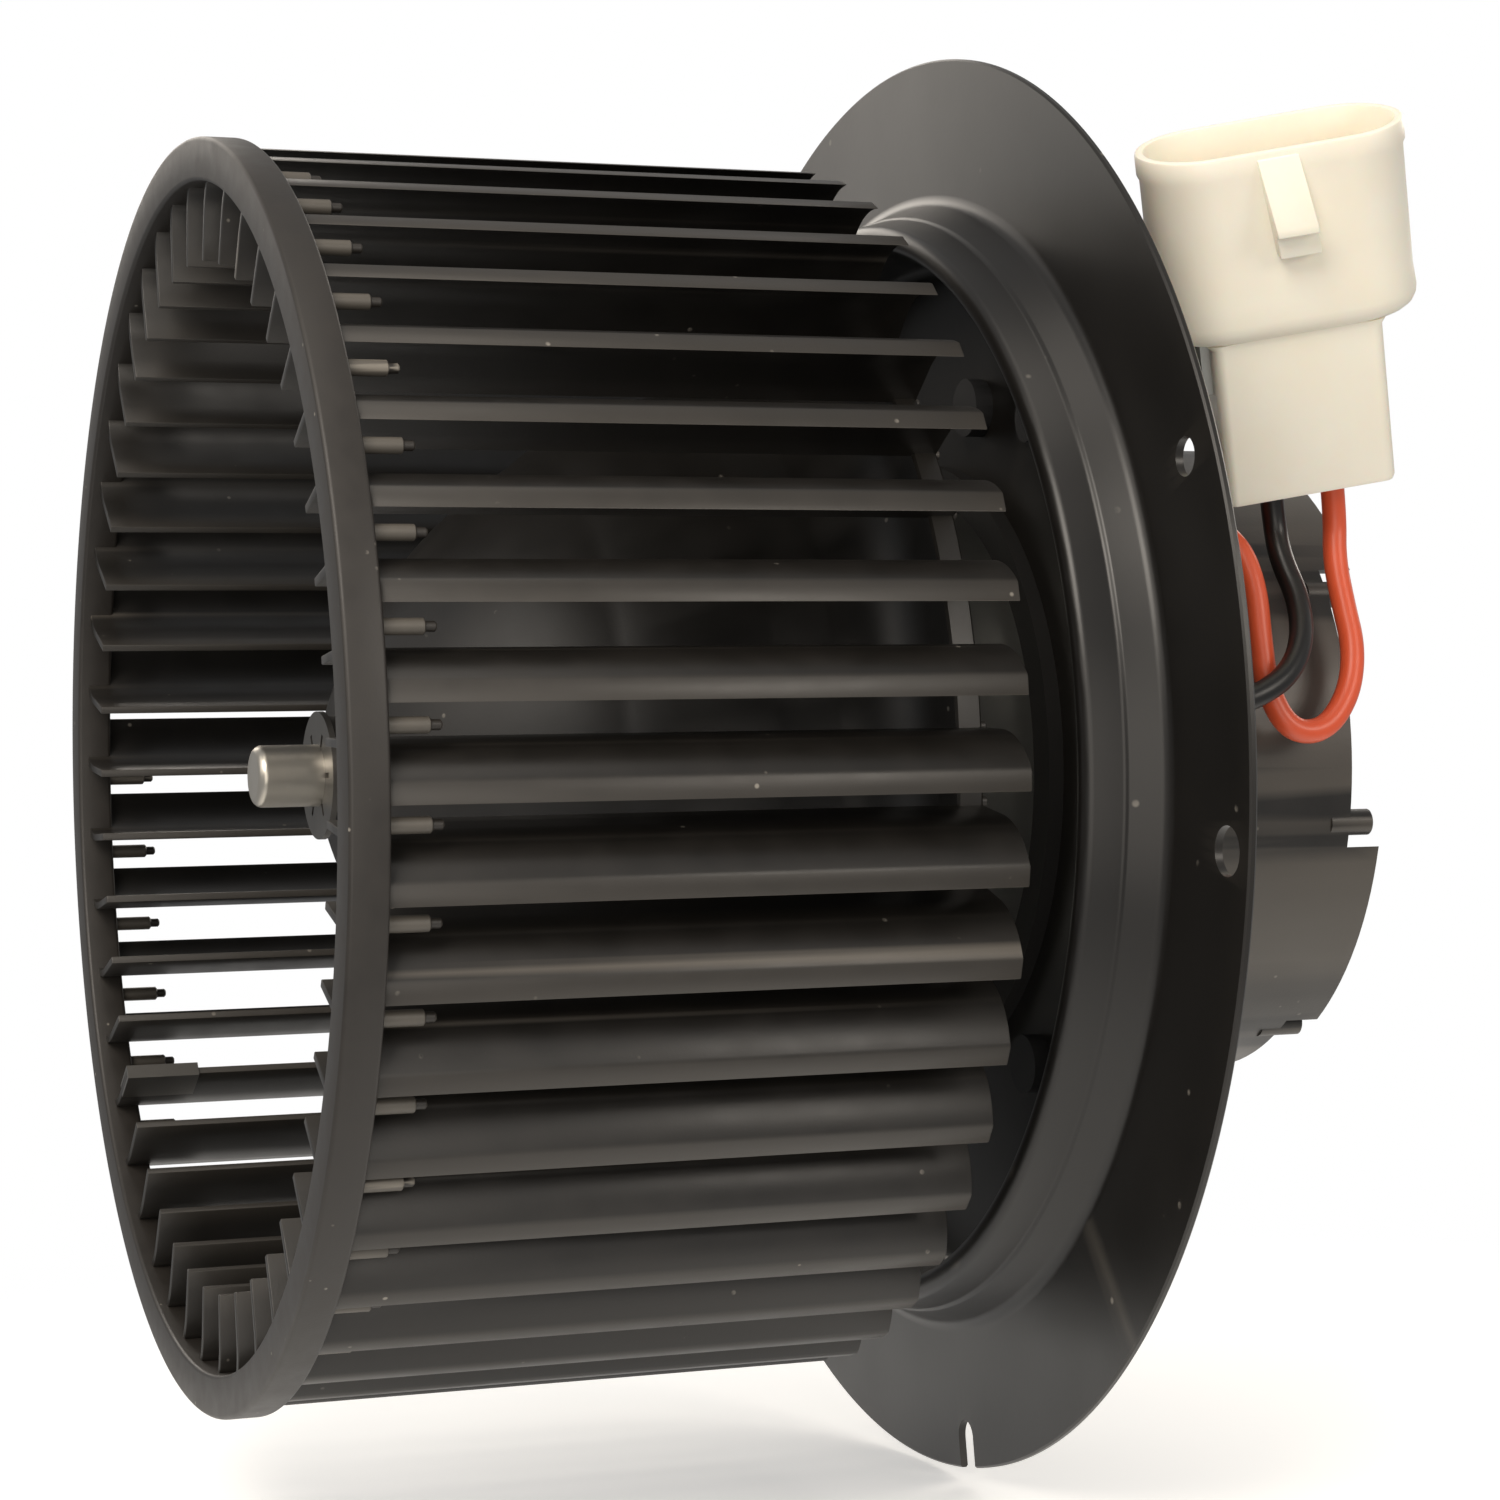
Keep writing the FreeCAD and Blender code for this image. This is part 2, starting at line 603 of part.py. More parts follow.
def makePlate():
    """Pressed sheet: flat rim, raised bead with a step half way up its wall, dish and centre hole."""
    body = newBody("mounting_plate")
    t = d.plateThick
    step = -d.stepDrop
    crest = -d.beadHeight
    spin(body, [
        (d.plateRadius, 0), (d.wallFoot, 0), (d.beadOuter + d.stepIn, step),
        (d.beadOuter, step), (d.beadOuter, crest), (d.beadInner, crest),
        (d.dishRadius, d.dishDepth), (d.plateHole, d.dishDepth), (d.plateHole, d.dishDepth + t),
        (d.dishRadius + t, d.dishDepth + t), (d.beadInner + t, crest + t),
        (d.beadOuter - t, crest + t), (d.beadOuter - t, step + t), (d.wallFoot - t, t),
        (d.plateRadius, t),
    ])
    roundEdges(body, [(d.wallFoot, 0)], d.footCurve)
    roundEdges(body, [(d.beadOuter, crest), (d.beadInner, crest)], d.beadCurve)
    roundEdges(body, [(d.dishRadius, d.dishDepth)], d.dishCurve)
    holes, sketch = across(body, 0, t, "PartDesign::Pocket")
    # the plate is drawn with its slot on +X and turned to its real angle at the end
    for radius, circle, angle in ((d.smallHole, d.smallHoleCircle, d.smallHoleAngle),
                                  (d.largeHole, d.largeHoleCircle, d.largeHoleAngle)):
        for side in (1, -1):
            spot = onCircle(circle.number, angle.number * side)
            x = Size(spot.x, "%s * cos(%s)" % (circle.text, angle.text))
            z = Size(spot.z, "%s * sin(%s) * %d" % (circle.text, angle.text, side))
            drawCircle(sketch, x, z, radius)
    slot, sketch = across(body, 0, t, "PartDesign::Pocket")
    half = d.plateSlotWidth / 2
    centre = d.plateSlotEnd + half
    drawOutline(sketch, [
        (centre, half), (d.plateSlotEnd, 0, half), (centre, -half, half),
        (d.plateRadius + 1, -half), (d.plateRadius + 1, half),
    ])
    screw, sketch = across(body, d.dishDepth, d.dishDepth + t, "PartDesign::Pocket")
    fromSlot = d.notchAngle + d.lugAngle - d.slotAngle
    spot = onCircle(d.lugCircle.number, fromSlot.number)
    drawCircle(sketch, Size(spot.x, "Dims.lugCircle * cos(%s)" % fromSlot.text),
               Size(spot.z, "Dims.lugCircle * sin(%s)" % fromSlot.text), d.screwRadius)
    repeatRound(body, [screw], d.lugCount)
    rivet, sketch = across(body, d.dishDepth, d.dishDepth + t, "PartDesign::Pocket")
    fromSlot = d.rivetAngle - d.slotAngle
    spot = onCircle(d.rivetCircle.number, fromSlot.number)
    drawCircle(sketch, Size(spot.x, "Dims.rivetCircle * cos(%s)" % fromSlot.text),
               Size(spot.z, "Dims.rivetCircle * sin(%s)" % fromSlot.text), d.rivetRadius)
    body.Tip = rivet
    turnAboutAxis(body, d.slotAngle)


def makeCollar():
    """Rubber ring that centres the can in the plate's hole."""
    body = newBody("isolation_collar")
    front = d.dishDepth
    back = d.dishDepth + d.plateThick
    lip = d.plateHole + 2
    spin(body, [
        (d.canRadius, front - d.collarThick), (lip, front - d.collarThick), (lip, front),
        (d.plateHole, front), (d.plateHole, back), (d.canRadius, back),
    ])


def makeCover():
    """Moulded cup over the motor's rear half, with a castellated rear rim and pairs of posts."""
    body = newBody("motor_cover")
    start = d.dishDepth + d.plateThick
    inner = d.coverRadius - d.coverWall
    floorBack = d.coverFloor + d.coverFloorThick
    spin(body, [
        (inner, start), (d.coverRadius, start), (d.coverRadius, d.coverBack),
        (inner, d.coverBack), (inner, floorBack), (d.coverFloorHole, floorBack),
        (d.coverFloorHole, d.coverFloor), (inner, d.coverFloor),
    ])
    notch, sketch = across(body, d.coverStep, d.coverBack, "PartDesign::Pocket")
    drawOutline(sketch, rectangle(inner - 12, -d.notchHalf, d.coverRadius + 1, d.notchHalf))
    repeatRound(body, [notch], d.notchCount)
    post, sketch = across(body, floorBack, d.postTop)
    for side in (1, -1):
        spot = onCircle(d.postCircle.number, d.postAngle.number * side)
        drawCircle(sketch, Size(spot.x, "Dims.postCircle * cos(Dims.postAngle)"),
                   Size(spot.z, "Dims.postCircle * sin(Dims.postAngle) * %d" % side), d.postRadius)
    repeatRound(body, [post], d.notchCount)
    # one screw lug lies on -X, where the other two follow at a third of a turn each
    end = -d.lugCircle
    lugSide = d.lugRadius
    lug, sketch = across(body, start, start + d.lugDepth)
    drawOutline(sketch, [
        (-inner, lugSide), (end, lugSide), (end - lugSide, 0, lugSide), (end, -lugSide, lugSide),
        (-inner, -lugSide),
    ])
    bore, sketch = across(body, start, start + d.lugDepth, "PartDesign::Pocket")
    drawCircle(sketch, end, 0, d.screwRadius)
    clear, sketch = across(body, start, d.coverFloor, "PartDesign::Pocket")
    drawCircle(sketch, 0, 0, inner)
    repeatRound(body, [lug, bore, clear], d.lugCount)
    turnAboutAxis(body, d.notchAngle)
    nodes.remove(body)
    return body


def makeCoverScrews():
    screws = []
    for index in range(int(d.lugCount.number)):
        angle = d.notchAngle.number + d.lugAngle.number + 360.0 / d.lugCount.number * index
        front = d.dishDepth.number - d.screwHeadHeight.number
        head = cylinder("ScrewHead%d" % index, d.screwHead, d.screwHeadHeight,
                        onCircle(d.lugCircle.number, angle, front))
        shank = cylinder("ScrewShank%d" % index, d.screwRadius, d.screwLength,
                         onCircle(d.lugCircle.number, angle, d.dishDepth.number))
        screw = doc.addObject("Part::MultiFuse", "CoverScrew%d" % index)
        screw.Shapes = [head, shank]
        screws.append(screw)
    group("cover_screws", screws)


# ---- connector, bracket and leads ----

PLUG_LENGTH = Vector(0.322, 0.933, 0.157)       # along the shell's long side
PLUG_UP = Vector(0.327, -0.266, 0.907)          # out of its mouth


def plugPlacement():
    place = Vector(d.plugX.number, d.plugY.number, d.plugZ.number)
    return Placement(place, Rotation(PLUG_LENGTH, Vector(), PLUG_UP, "ZXY"))


def raceTrack(halfLength, radius):
    straight = halfLength - radius
    return [
        (-straight, -radius, radius), (straight, -radius), (halfLength, 0, radius),
        (straight, radius, radius), (-straight, radius), (-halfLength, 0, radius),
    ]


def makeConnector():
    body = newBody("connector_housing")
    shell, sketch = upright(body, -d.shellDepth, 0)
    drawOutline(sketch, raceTrack(d.shellHalf, d.shellRound))
    tail, sketch = upright(body, -d.tailDepth, -d.shellDepth)
    drawOutline(sketch, rectangle(-d.tailHalf, -d.tailHalfWidth, d.tailHalf, d.tailHalfWidth))
    ramp = body.newObject("PartDesign::Pad", "Ramp")
    sketch = newSketch(body, "YZ_Plane", d.rampLeft)
    face = -d.shellRound
    drawOutline(sketch, [
        (face + 0.5, d.rampFoot), (face + 0.5, d.rampTop), (face, d.rampTop),
        (face - d.rampProud, d.rampFoot),
    ])
    ramp.Profile = sketch
    bind(ramp, "Length", d.rampRight - d.rampLeft)
    socket, sketch = upright(body, -d.socketDepth, 0, "PartDesign::Pocket")
    drawOutline(sketch, raceTrack(d.shellHalf - d.shellWall, d.shellRound - d.shellWall))
    body.Tip = socket
    body.Placement = plugPlacement()
    return body


def makeTerminals():
    body = newBody("connector_terminals", separate=True)
    half = d.terminalThick / 2
    blades, sketch = upright(body, -d.socketDepth, d.terminalTop)
    for side in (1, -1):
        middle = d.terminalOffset * side
        reach = d.terminalWidth / 2
        drawOutline(sketch, rectangle(middle - reach, -half, middle + reach, half))
    body.Tip = blades
    body.Placement = plugPlacement()


def plugBox(name, x0, y0, z0, x1, y1, z1):
    """A block given by two corners in the connector's frame."""
    corners = [sized(value) for value in (x0, y0, z0, x1, y1, z1)]
    block = doc.addObject("Part::Box", name)
    bind(block, "Length", corners[3] - corners[0])
    bind(block, "Width", corners[4] - corners[1])
    bind(block, "Height", corners[5] - corners[2])
    corner = Vector(*[value.number for value in corners[:3]])
    block.Placement = plugPlacement().multiply(Placement(corner, Rotation()))
    return block


def makeRivet():
    """Rivet through the plate and the bracket's foot."""
    spot = onCircle(d.rivetCircle.number, d.rivetAngle.number)
    front = d.dishDepth.number
    back = front + d.plateThick.number + d.bracketThick.number
    shank = cylinder("RivetShank", d.rivetRadius, d.plateThick + d.bracketThick,
                     Vector(spot.x, front, spot.z))
    headFront = cylinder("RivetFront", d.rivetHead, d.rivetHeadThick,
                         Vector(spot.x, front - d.rivetHeadThick.number, spot.z))
    headBack = cylinder("RivetBack", d.rivetHead, d.rivetHeadThick, Vector(spot.x, back, spot.z))
    rivet = doc.addObject("Part::MultiFuse", "bracket_rivet")
    rivet.Label = "bracket_rivet"
    rivet.Shapes = [shank, headFront, headBack]
    nodes.append(rivet)
    return rivet


def makeBracket(rivet):
    """Steel strip from the plate's back to the connector's tail, bent flat against both."""
    top = -d.shellDepth
    foot = top - d.bracketWidth
    side = -d.tailHalf
    half = d.bracketThick / 2
    arm = plugBox("BracketArm", side - d.bracketReach, -half, foot, side, half, top)
    tab = plugBox("BracketTab", side - d.bracketThick, -4.5, foot, side, 4.5, top)
    plateBack = d.dishDepth.number + d.plateThick.number
    pad = doc.addObject("Part::Box", "BracketFoot")
    bind(pad, "Length", d.footLength)
    bind(pad, "Width", d.bracketThick)
    bind(pad, "Height", d.footHeight)
    pad.Placement = Placement(Vector(d.footX.number, plateBack, d.footZ.number), Rotation())
    strip = doc.addObject("Part::MultiFuse", "BracketStrip")
    strip.Shapes = [arm, tab, pad]
    front = doc.addObject("Part::Box", "InFrontOfPlate")
    for size in ("Length", "Width", "Height"):
        setattr(front, size, 60)
    front.Placement = Placement(Vector(10, plateBack - 60, 20), Rotation())
    waste = doc.addObject("Part::MultiFuse", "BracketWaste")
    waste.Shapes = [front, rivet]
    bracket = doc.addObject("Part::Cut", "connector_bracket")
    bracket.Label = "connector_bracket"
    bracket.Base = strip
    bracket.Tool = waste
    nodes.append(bracket)


def plugPoint(x, z):
    return plugPlacement().multVec(Vector(x, 0, z))


def leadPath(points):
    """Straight runs joined by arcs as large as their runs allow; prints the radii."""
    edges = []
    radii = []
    last = points[0]
    for before, corner, after in zip(points, points[1:], points[2:]):
        incoming = (corner - before).normalize()
        outgoing = (after - corner).normalize()
        halfTurn = incoming.getAngle(outgoing) / 2
        setback = 0.45 * min((corner - before).Length, (after - corner).Length)
        radius = setback / math.tan(halfTurn)
        start = corner - incoming * setback
        end = corner + outgoing * setback
        inward = (outgoing - incoming).normalize()
        crown = corner + inward * (radius / math.cos(halfTurn) - radius)
        edges.append(Part.LineSegment(last, start).toShape())
        edges.append(Part.Arc(start, crown, end).toShape())
        radii.append(round(radius, 1))
        last = end
    edges.append(Part.LineSegment(last, points[-1]).toShape())
    return Part.Wire(edges), radii


def makeLead(label, points):
    path, radii = leadPath(points)
    radius = d.leadDiameter.number / 2
    ring = Part.Circle(points[0], points[1] - points[0], radius).toShape()
    tube = path.makePipeShell([Part.Wire([ring])], True, True)
    expected = math.pi * radius ** 2 * path.Length
    print("%s length %.1f volume ratio %.4f radii %s"
          % (label, path.Length, tube.Volume / expected, radii))
    lead = doc.addObject("Part::Feature", label)
    lead.Label = label
    lead.Shape = tube
    nodes.append(lead)


def makeGrommets(ends):
    """A rubber sleeve round each place where a lead goes into the cover."""
    sleeves = []
    for index, (last, before) in enumerate(ends):
        inward = Rotation(Vector(0, 0, 1), last - before)
        sleeves.append(cylinder("Sleeve%d" % index, d.grommetRadius, d.grommetLength, last, inward))
    return group("lead_grommets", sleeves)


tailEnd = -d.tailDepth.number
redExit = plugPoint(d.leadOffset.number, tailEnd)
blackExit = plugPoint(-d.leadOffset.number, tailEnd)

# leads leave straight out of the connector, hang in a loop beside the cover and go into it
RED_ROUTE = [
    redExit, redExit - PLUG_UP * 6, Vector(43.2, 40.9, 25.6), Vector(44.7, 41.2, 19.8),
    Vector(46.4, 41.7, 13.8), Vector(47.8, 40.0, 7.9), Vector(48.6, 35.9, 3.3),
    Vector(48.5, 30.9, 3.4), Vector(47.5, 28.3, 8.7), Vector(46.7, 27.9, 15.2),
    Vector(45.6, 28.0, 21.6), Vector(43.6, 27.0, 27.0), Vector(40.6, 24.4, 30.0),
    Vector(36.8, 22.6, 30.6), Vector(33.4, 21.0, 29.0),
]
BLACK_ROUTE = [
    blackExit, blackExit - PLUG_UP * 5, Vector(41.9, 33.7, 25.8), Vector(45.2, 34.4, 20.4),
    Vector(49.0, 32.8, 15.2), Vector(51.2, 29.8, 10.9), Vector(52.2, 25.0, 8.0),
    Vector(51.6, 19.5, 6.4), Vector(49.4, 14.6, 4.8), Vector(45.2, 12.0, 3.2),
]

makeRim()
makeBlades()
makeHub()
makeRetainingClip()
makeBalanceClip()
makeShaft()
makeCore()
makeWindings()
makeCommutator()
makeThrustWashers()
makeCan()
makeMagnets()
makeMagnetSprings()
bearingHalf = d.bearingLength / 2
makeBearing("front_bearing", d.noseFront + d.canWall + bearingHalf)
makeBearing("rear_bearing", d.endNoseBack - d.endThick - bearingHalf)
makeRetainer("front_bearing_retainer", d.canFront + d.canWall)
makeRetainer("rear_bearing_retainer", d.canBack - d.retainerThick)
makeEndPlate()
makeBrushPlate()
makeBrushes()
makeBrushHolders()
makeBrushSprings()
makeChokes()
makePlate()
makeCollar()
coverBlank = makeCover()
makeCoverScrews()
makeConnector()
makeTerminals()
makeBracket(makeRivet())
makeLead("red_lead", RED_ROUTE)
makeLead("black_lead", BLACK_ROUTE)
grommets = makeGrommets([(RED_ROUTE[-1], RED_ROUTE[-2]), (BLACK_ROUTE[-1], BLACK_ROUTE[-2])])

coverBlank.Label = "motor_cover_blank"
cover = coverBlank
for sleeve in grommets.Links:
    opened = doc.addObject("Part::Cut", "CoverOpened")
    opened.Base = cover
    opened.Tool = sleeve
    opened.Refine = False
    cover = opened
cover.Label = "motor_cover"
nodes.append(cover)

doc.recompute()

for item in doc.Objects:
    if "Invalid" in item.State or "Error" in item.State:
        raise SystemExit("%s failed: %s" % (item.Label, item.State))
for node in nodes:
    if node.Shape.isNull() or not node.Shape.isValid():
        raise SystemExit("bad shape: " + node.Label)

os.makedirs("parts", exist_ok=True)
for node in nodes:
    node.Shape.exportStep("parts/%s.step" % node.Label)
    print("%-24s solids %3d volume %10.1f" % (node.Label, len(node.Shape.Solids), node.Shape.Volume))
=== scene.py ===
import json
import math

import bmesh
import bpy
from mathutils import Matrix, Vector


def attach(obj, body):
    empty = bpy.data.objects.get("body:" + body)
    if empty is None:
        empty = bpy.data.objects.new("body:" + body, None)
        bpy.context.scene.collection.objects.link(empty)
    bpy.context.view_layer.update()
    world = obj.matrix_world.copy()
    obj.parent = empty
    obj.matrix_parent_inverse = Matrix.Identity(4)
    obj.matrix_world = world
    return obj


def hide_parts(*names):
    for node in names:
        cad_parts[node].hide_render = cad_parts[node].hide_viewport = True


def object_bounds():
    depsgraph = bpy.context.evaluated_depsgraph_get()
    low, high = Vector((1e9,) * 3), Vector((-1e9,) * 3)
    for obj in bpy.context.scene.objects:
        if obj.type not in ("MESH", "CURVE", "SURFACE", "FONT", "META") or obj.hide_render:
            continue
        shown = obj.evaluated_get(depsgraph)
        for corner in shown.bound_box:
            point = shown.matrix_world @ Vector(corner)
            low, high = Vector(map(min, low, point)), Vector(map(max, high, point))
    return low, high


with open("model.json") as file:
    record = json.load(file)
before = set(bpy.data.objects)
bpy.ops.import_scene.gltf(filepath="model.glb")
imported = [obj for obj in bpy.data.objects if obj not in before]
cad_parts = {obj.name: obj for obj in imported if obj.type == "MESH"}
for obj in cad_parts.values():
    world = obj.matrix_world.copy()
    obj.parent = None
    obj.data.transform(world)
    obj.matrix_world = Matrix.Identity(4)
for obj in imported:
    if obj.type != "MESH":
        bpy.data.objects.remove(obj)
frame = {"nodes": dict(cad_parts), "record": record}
cadBox = [list(corner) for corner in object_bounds()]
mm = 0.001


def linear(code):
    values = [int(code[i:i + 2], 16) / 255 for i in (1, 3, 5)]
    return [v / 12.92 if v <= 0.04045 else ((v + 0.055) / 1.055) ** 2.4 for v in values] + [1.0]


def addNode(tree, kind, links=None, **settings):
    node = tree.nodes.new(kind)
    for name, value in settings.items():
        setattr(node, name, value)
    for socket, source in (links or {}).items():
        if isinstance(source, bpy.types.NodeSocket):
            tree.links.new(source, node.inputs[socket])
        else:
            node.inputs[socket].default_value = source
    return node


def arcPoints(start, end, radius, steps=12):
    # points after start up to end on the short arc; a positive radius turns left
    a, b = Vector(start), Vector(end)
    chord = b - a
    left = Vector((-chord.y, chord.x)).normalized()
    side = math.copysign(1, radius)
    reach = math.sqrt(radius ** 2 - chord.length_squared / 4)
    centre = (a + b) / 2 + left * reach * side
    first = math.atan2(a.y - centre.y, a.x - centre.x)
    turn = 2 * math.asin(chord.length / 2 / abs(radius)) * side
    angles = [first + turn * i / steps for i in range(1, steps + 1)]
    return [(centre.x + abs(radius) * math.cos(t), centre.y + abs(radius) * math.sin(t)) for t in angles]


def roundCorners(corners, closed=True, steps=6):
    # corners are (a, b, radius); a corner with radius 0 stays sharp
    points = []
    count = len(corners)
    for i, (a, b, radius) in enumerate(corners):
        here = Vector((a, b))
        if radius == 0 or (not closed and i in (0, count - 1)):
            points.append((a, b))
            continue
        back = (Vector(corners[i - 1][:2]) - here).normalized()
        ahead = (Vector(corners[(i + 1) % count][:2]) - here).normalized()
        half = back.angle(ahead) / 2
        start = here + back * radius / math.tan(half)
        end = here + ahead * radius / math.tan(half)
        turn = back.x * ahead.y - back.y * ahead.x
        points.append(tuple(start))
        points += arcPoints(start, end, math.copysign(radius, -turn), steps)
    return points


def makePiece(name, verts, faces, body, material, nodes=(), bevel=0.0, smoothAngle=32):
    mesh = bpy.data.meshes.new(name)
    mesh.from_pydata([Vector(v) * mm for v in verts], [], faces)
    piece = bpy.data.objects.new(name, mesh)
    bpy.context.scene.collection.objects.link(piece)
    work = bmesh.new()
    work.from_mesh(mesh)
    bmesh.ops.remove_doubles(work, verts=work.verts, dist=0.002 * mm)
    bmesh.ops.recalc_face_normals(work, faces=work.faces)
    work.to_mesh(mesh)
    work.free()
    if bevel:
        rounding = piece.modifiers.new("rounding", "BEVEL")
        rounding.width = bevel * mm
        rounding.segments = 2
        rounding.limit_method = "ANGLE"
        rounding.angle_limit = math.radians(40)
        applyModifiers(piece)
    smoothPiece(piece, smoothAngle)
    piece.data.materials.append(material)
    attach(piece, body)
    if nodes:
        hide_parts(*nodes)
    return piece


def smoothPiece(piece, angle):
    for face in piece.data.polygons:
        face.use_smooth = True
    piece.data.set_sharp_from_angle(angle=math.radians(angle))


def applyModifiers(piece):
    graph = bpy.context.evaluated_depsgraph_get()
    mesh = bpy.data.meshes.new_from_object(piece.evaluated_get(graph))
    piece.modifiers.clear()
    piece.data = mesh


def turned(point, degrees):
    # turns a point about the motor axis, from +X towards +Z
    x, y, z = point
    c, s = math.cos(math.radians(degrees)), math.sin(math.radians(degrees))
    return (x * c - z * s, y, x * s + z * c)


def revolve(profile, segments=360):
    verts = []
    faces = []
    count = len(profile)
    for k in range(segments):
        verts += [turned((r, y, 0), 360 * k / segments) for r, y in profile]
    for k in range(segments):
        here, after = k * count, (k + 1) % segments * count
        for i in range(count):
            j = (i + 1) % count
            faces.append((here + i, here + j, after + j, after + i))
    return verts, faces


def loft(rings):
    # closed skin through rings of equal point count, capped at both ends
    count = len(rings[0])
    verts = [point for ring in rings for point in ring]
    faces = []
    for k in range(len(rings) - 1):
        for i in range(count):
            j = (i + 1) % count
            faces.append((k * count + i, k * count + j, (k + 1) * count + j, (k + 1) * count + i))
    faces.append(tuple(range(count)))
    faces.append(tuple(range((len(rings) - 1) * count, len(rings) * count)))
    return verts, faces


def joinShapes(shapes):
    verts = []
    faces = []
    for someVerts, someFaces in shapes:
        faces += [tuple(i + len(verts) for i in face) for face in someFaces]
        verts += someVerts
    return verts, faces


def pin(circle, degrees, front, steps):
    # stepped round pin along the axis; steps are (radius, y after front)
    sides = 20
    rings = []
    for radius, y in steps:
        ring = []
        for i in range(sides):
            t = 2 * math.pi * i / sides
            ring.append(turned((circle + radius * math.cos(t), front + y, radius * math.sin(t)), degrees))
        rings.append(ring)
    return loft(rings)


cameraValues = {"place": (0.4534, -0.1971, 0.0017), "azimuth": 68.989, "elevation": -0.094,
                "roll": -1.032, "lens": 87.08, "sensor": 36.0, "shift": (-0.0038, -0.0011)}


def makeCamera(v):
    az, el, roll = (math.radians(v[k]) for k in ("azimuth", "elevation", "roll"))
    forward = Vector((-math.sin(az) * math.cos(el), math.cos(az) * math.cos(el), -math.sin(el)))
    right = Vector((math.cos(az), math.sin(az), 0))
    up = right.cross(forward)
    tiltedRight = right * math.cos(roll) + up * math.sin(roll)
    tiltedUp = up * math.cos(roll) - right * math.sin(roll)
    data = bpy.data.cameras.new("camera")
    data.lens = v["lens"]
    data.sensor_width = v["sensor"]
    data.shift_x, data.shift_y = v["shift"]
    camera = bpy.data.objects.new("camera", data)
    bpy.context.scene.collection.objects.link(camera)
    axes = Matrix((tiltedRight, tiltedUp, -forward)).transposed()
    camera.matrix_world = Matrix.Translation(v["place"]) @ axes.to_4x4()
    bpy.context.scene.camera = camera


makeCamera(cameraValues)
print("camera placed")


def grained(name, finish):
    # cloudy colour, fine surface grain, uneven gloss, pale wear where edges stand out, and dust
    material = bpy.data.materials.new(name)
    material.use_nodes = True
    tree = material.node_tree
    shader = tree.nodes["Principled BSDF"]
    place = addNode(tree, "ShaderNodeTexCoord")
    stretch = addNode(tree, "ShaderNodeMapping", {"Vector": place.outputs["Object"],
                                                  "Scale": finish.get("stretch", (1, 1, 1))})
    cloud = addNode(tree, "ShaderNodeTexNoise", {"Vector": place.outputs["Object"], "Detail": 5.0,
                                                 "Scale": 1 / (finish["cloudMm"] * mm)})
    grain = addNode(tree, "ShaderNodeTexNoise", {"Vector": stretch.outputs["Vector"], "Detail": 3.0,
                                                 "Scale": 1 / (finish["grainMm"] * mm)})
    # a colour Mix node has its factor at socket 0, its colours at 6 and 7, and its result at 2
    tint = addNode(tree, "ShaderNodeMix", {6: linear(finish["base"]), 7: linear(finish["cloud"]),
                                           0: cloud.outputs["Fac"]}, data_type="RGBA")
    shape = addNode(tree, "ShaderNodeNewGeometry")
    edge = addNode(tree, "ShaderNodeMapRange", {"Value": shape.outputs["Pointiness"],
                                                "From Min": 0.54, "From Max": 0.66,
                                                "To Max": finish["wearShare"]})
    worn = addNode(tree, "ShaderNodeMix", {6: tint.outputs[2], 7: linear(finish["worn"]),
                                           0: edge.outputs["Result"]}, data_type="RGBA")
    # specks of dust and nicks, one or none to a cell
    cells = addNode(tree, "ShaderNodeTexVoronoi", {"Vector": place.outputs["Object"],
                                                   "Scale": 1 / (finish["dustMm"] * mm)})
    speck = addNode(tree, "ShaderNodeMapRange", {"Value": cells.outputs["Distance"], "From Min": 0.09,
                                                 "From Max": 0.05, "To Max": finish["dustShare"]})
    patch = addNode(tree, "ShaderNodeMapRange", {"Value": cloud.outputs["Fac"], "From Min": 0.52,
                                                 "From Max": 0.62})
    dust = addNode(tree, "ShaderNodeMath", {0: speck.outputs["Result"], 1: patch.outputs["Result"]},
                   operation="MULTIPLY")
    dusty = addNode(tree, "ShaderNodeMix", {6: worn.outputs[2], 7: linear(finish["dust"]),
                                            0: dust.outputs["Value"]}, data_type="RGBA")
    gloss = addNode(tree, "ShaderNodeMapRange", {"Value": cloud.outputs["Fac"],
                                                 "To Min": finish["rough"] - finish["roughSpread"],
                                                 "To Max": finish["rough"] + finish["roughSpread"]})
    relief = addNode(tree, "ShaderNodeBump", {"Height": grain.outputs["Fac"],
                                              "Strength": finish["bump"],
                                              "Distance": finish["grainDepthMm"] * mm})
    tree.links.new(dusty.outputs[2], shader.inputs["Base Color"])
    tree.links.new(gloss.outputs["Result"], shader.inputs["Roughness"])
    tree.links.new(relief.outputs["Normal"], shader.inputs["Normal"])
    shader.inputs["Metallic"].default_value = finish.get("metallic", 0.0)
    for socket, value in finish.get("shader", {}).items():
        shader.inputs[socket].default_value = value
    return material


def look(base, cloud, worn, rough, **more):
    # cloudMm is the size of the colour patches, grainMm of the surface grain, dustMm of a speck's cell
    values = {"base": base, "cloud": cloud, "worn": worn, "rough": rough, "cloudMm": 14, "grainMm": 0.35,
              "grainDepthMm": 0.03, "bump": 0.35, "roughSpread": 0.06, "wearShare": 0.35,
              "dust": "#9A948A", "dustMm": 4.0, "dustShare": 0.0}
    values.update(more)
    return values


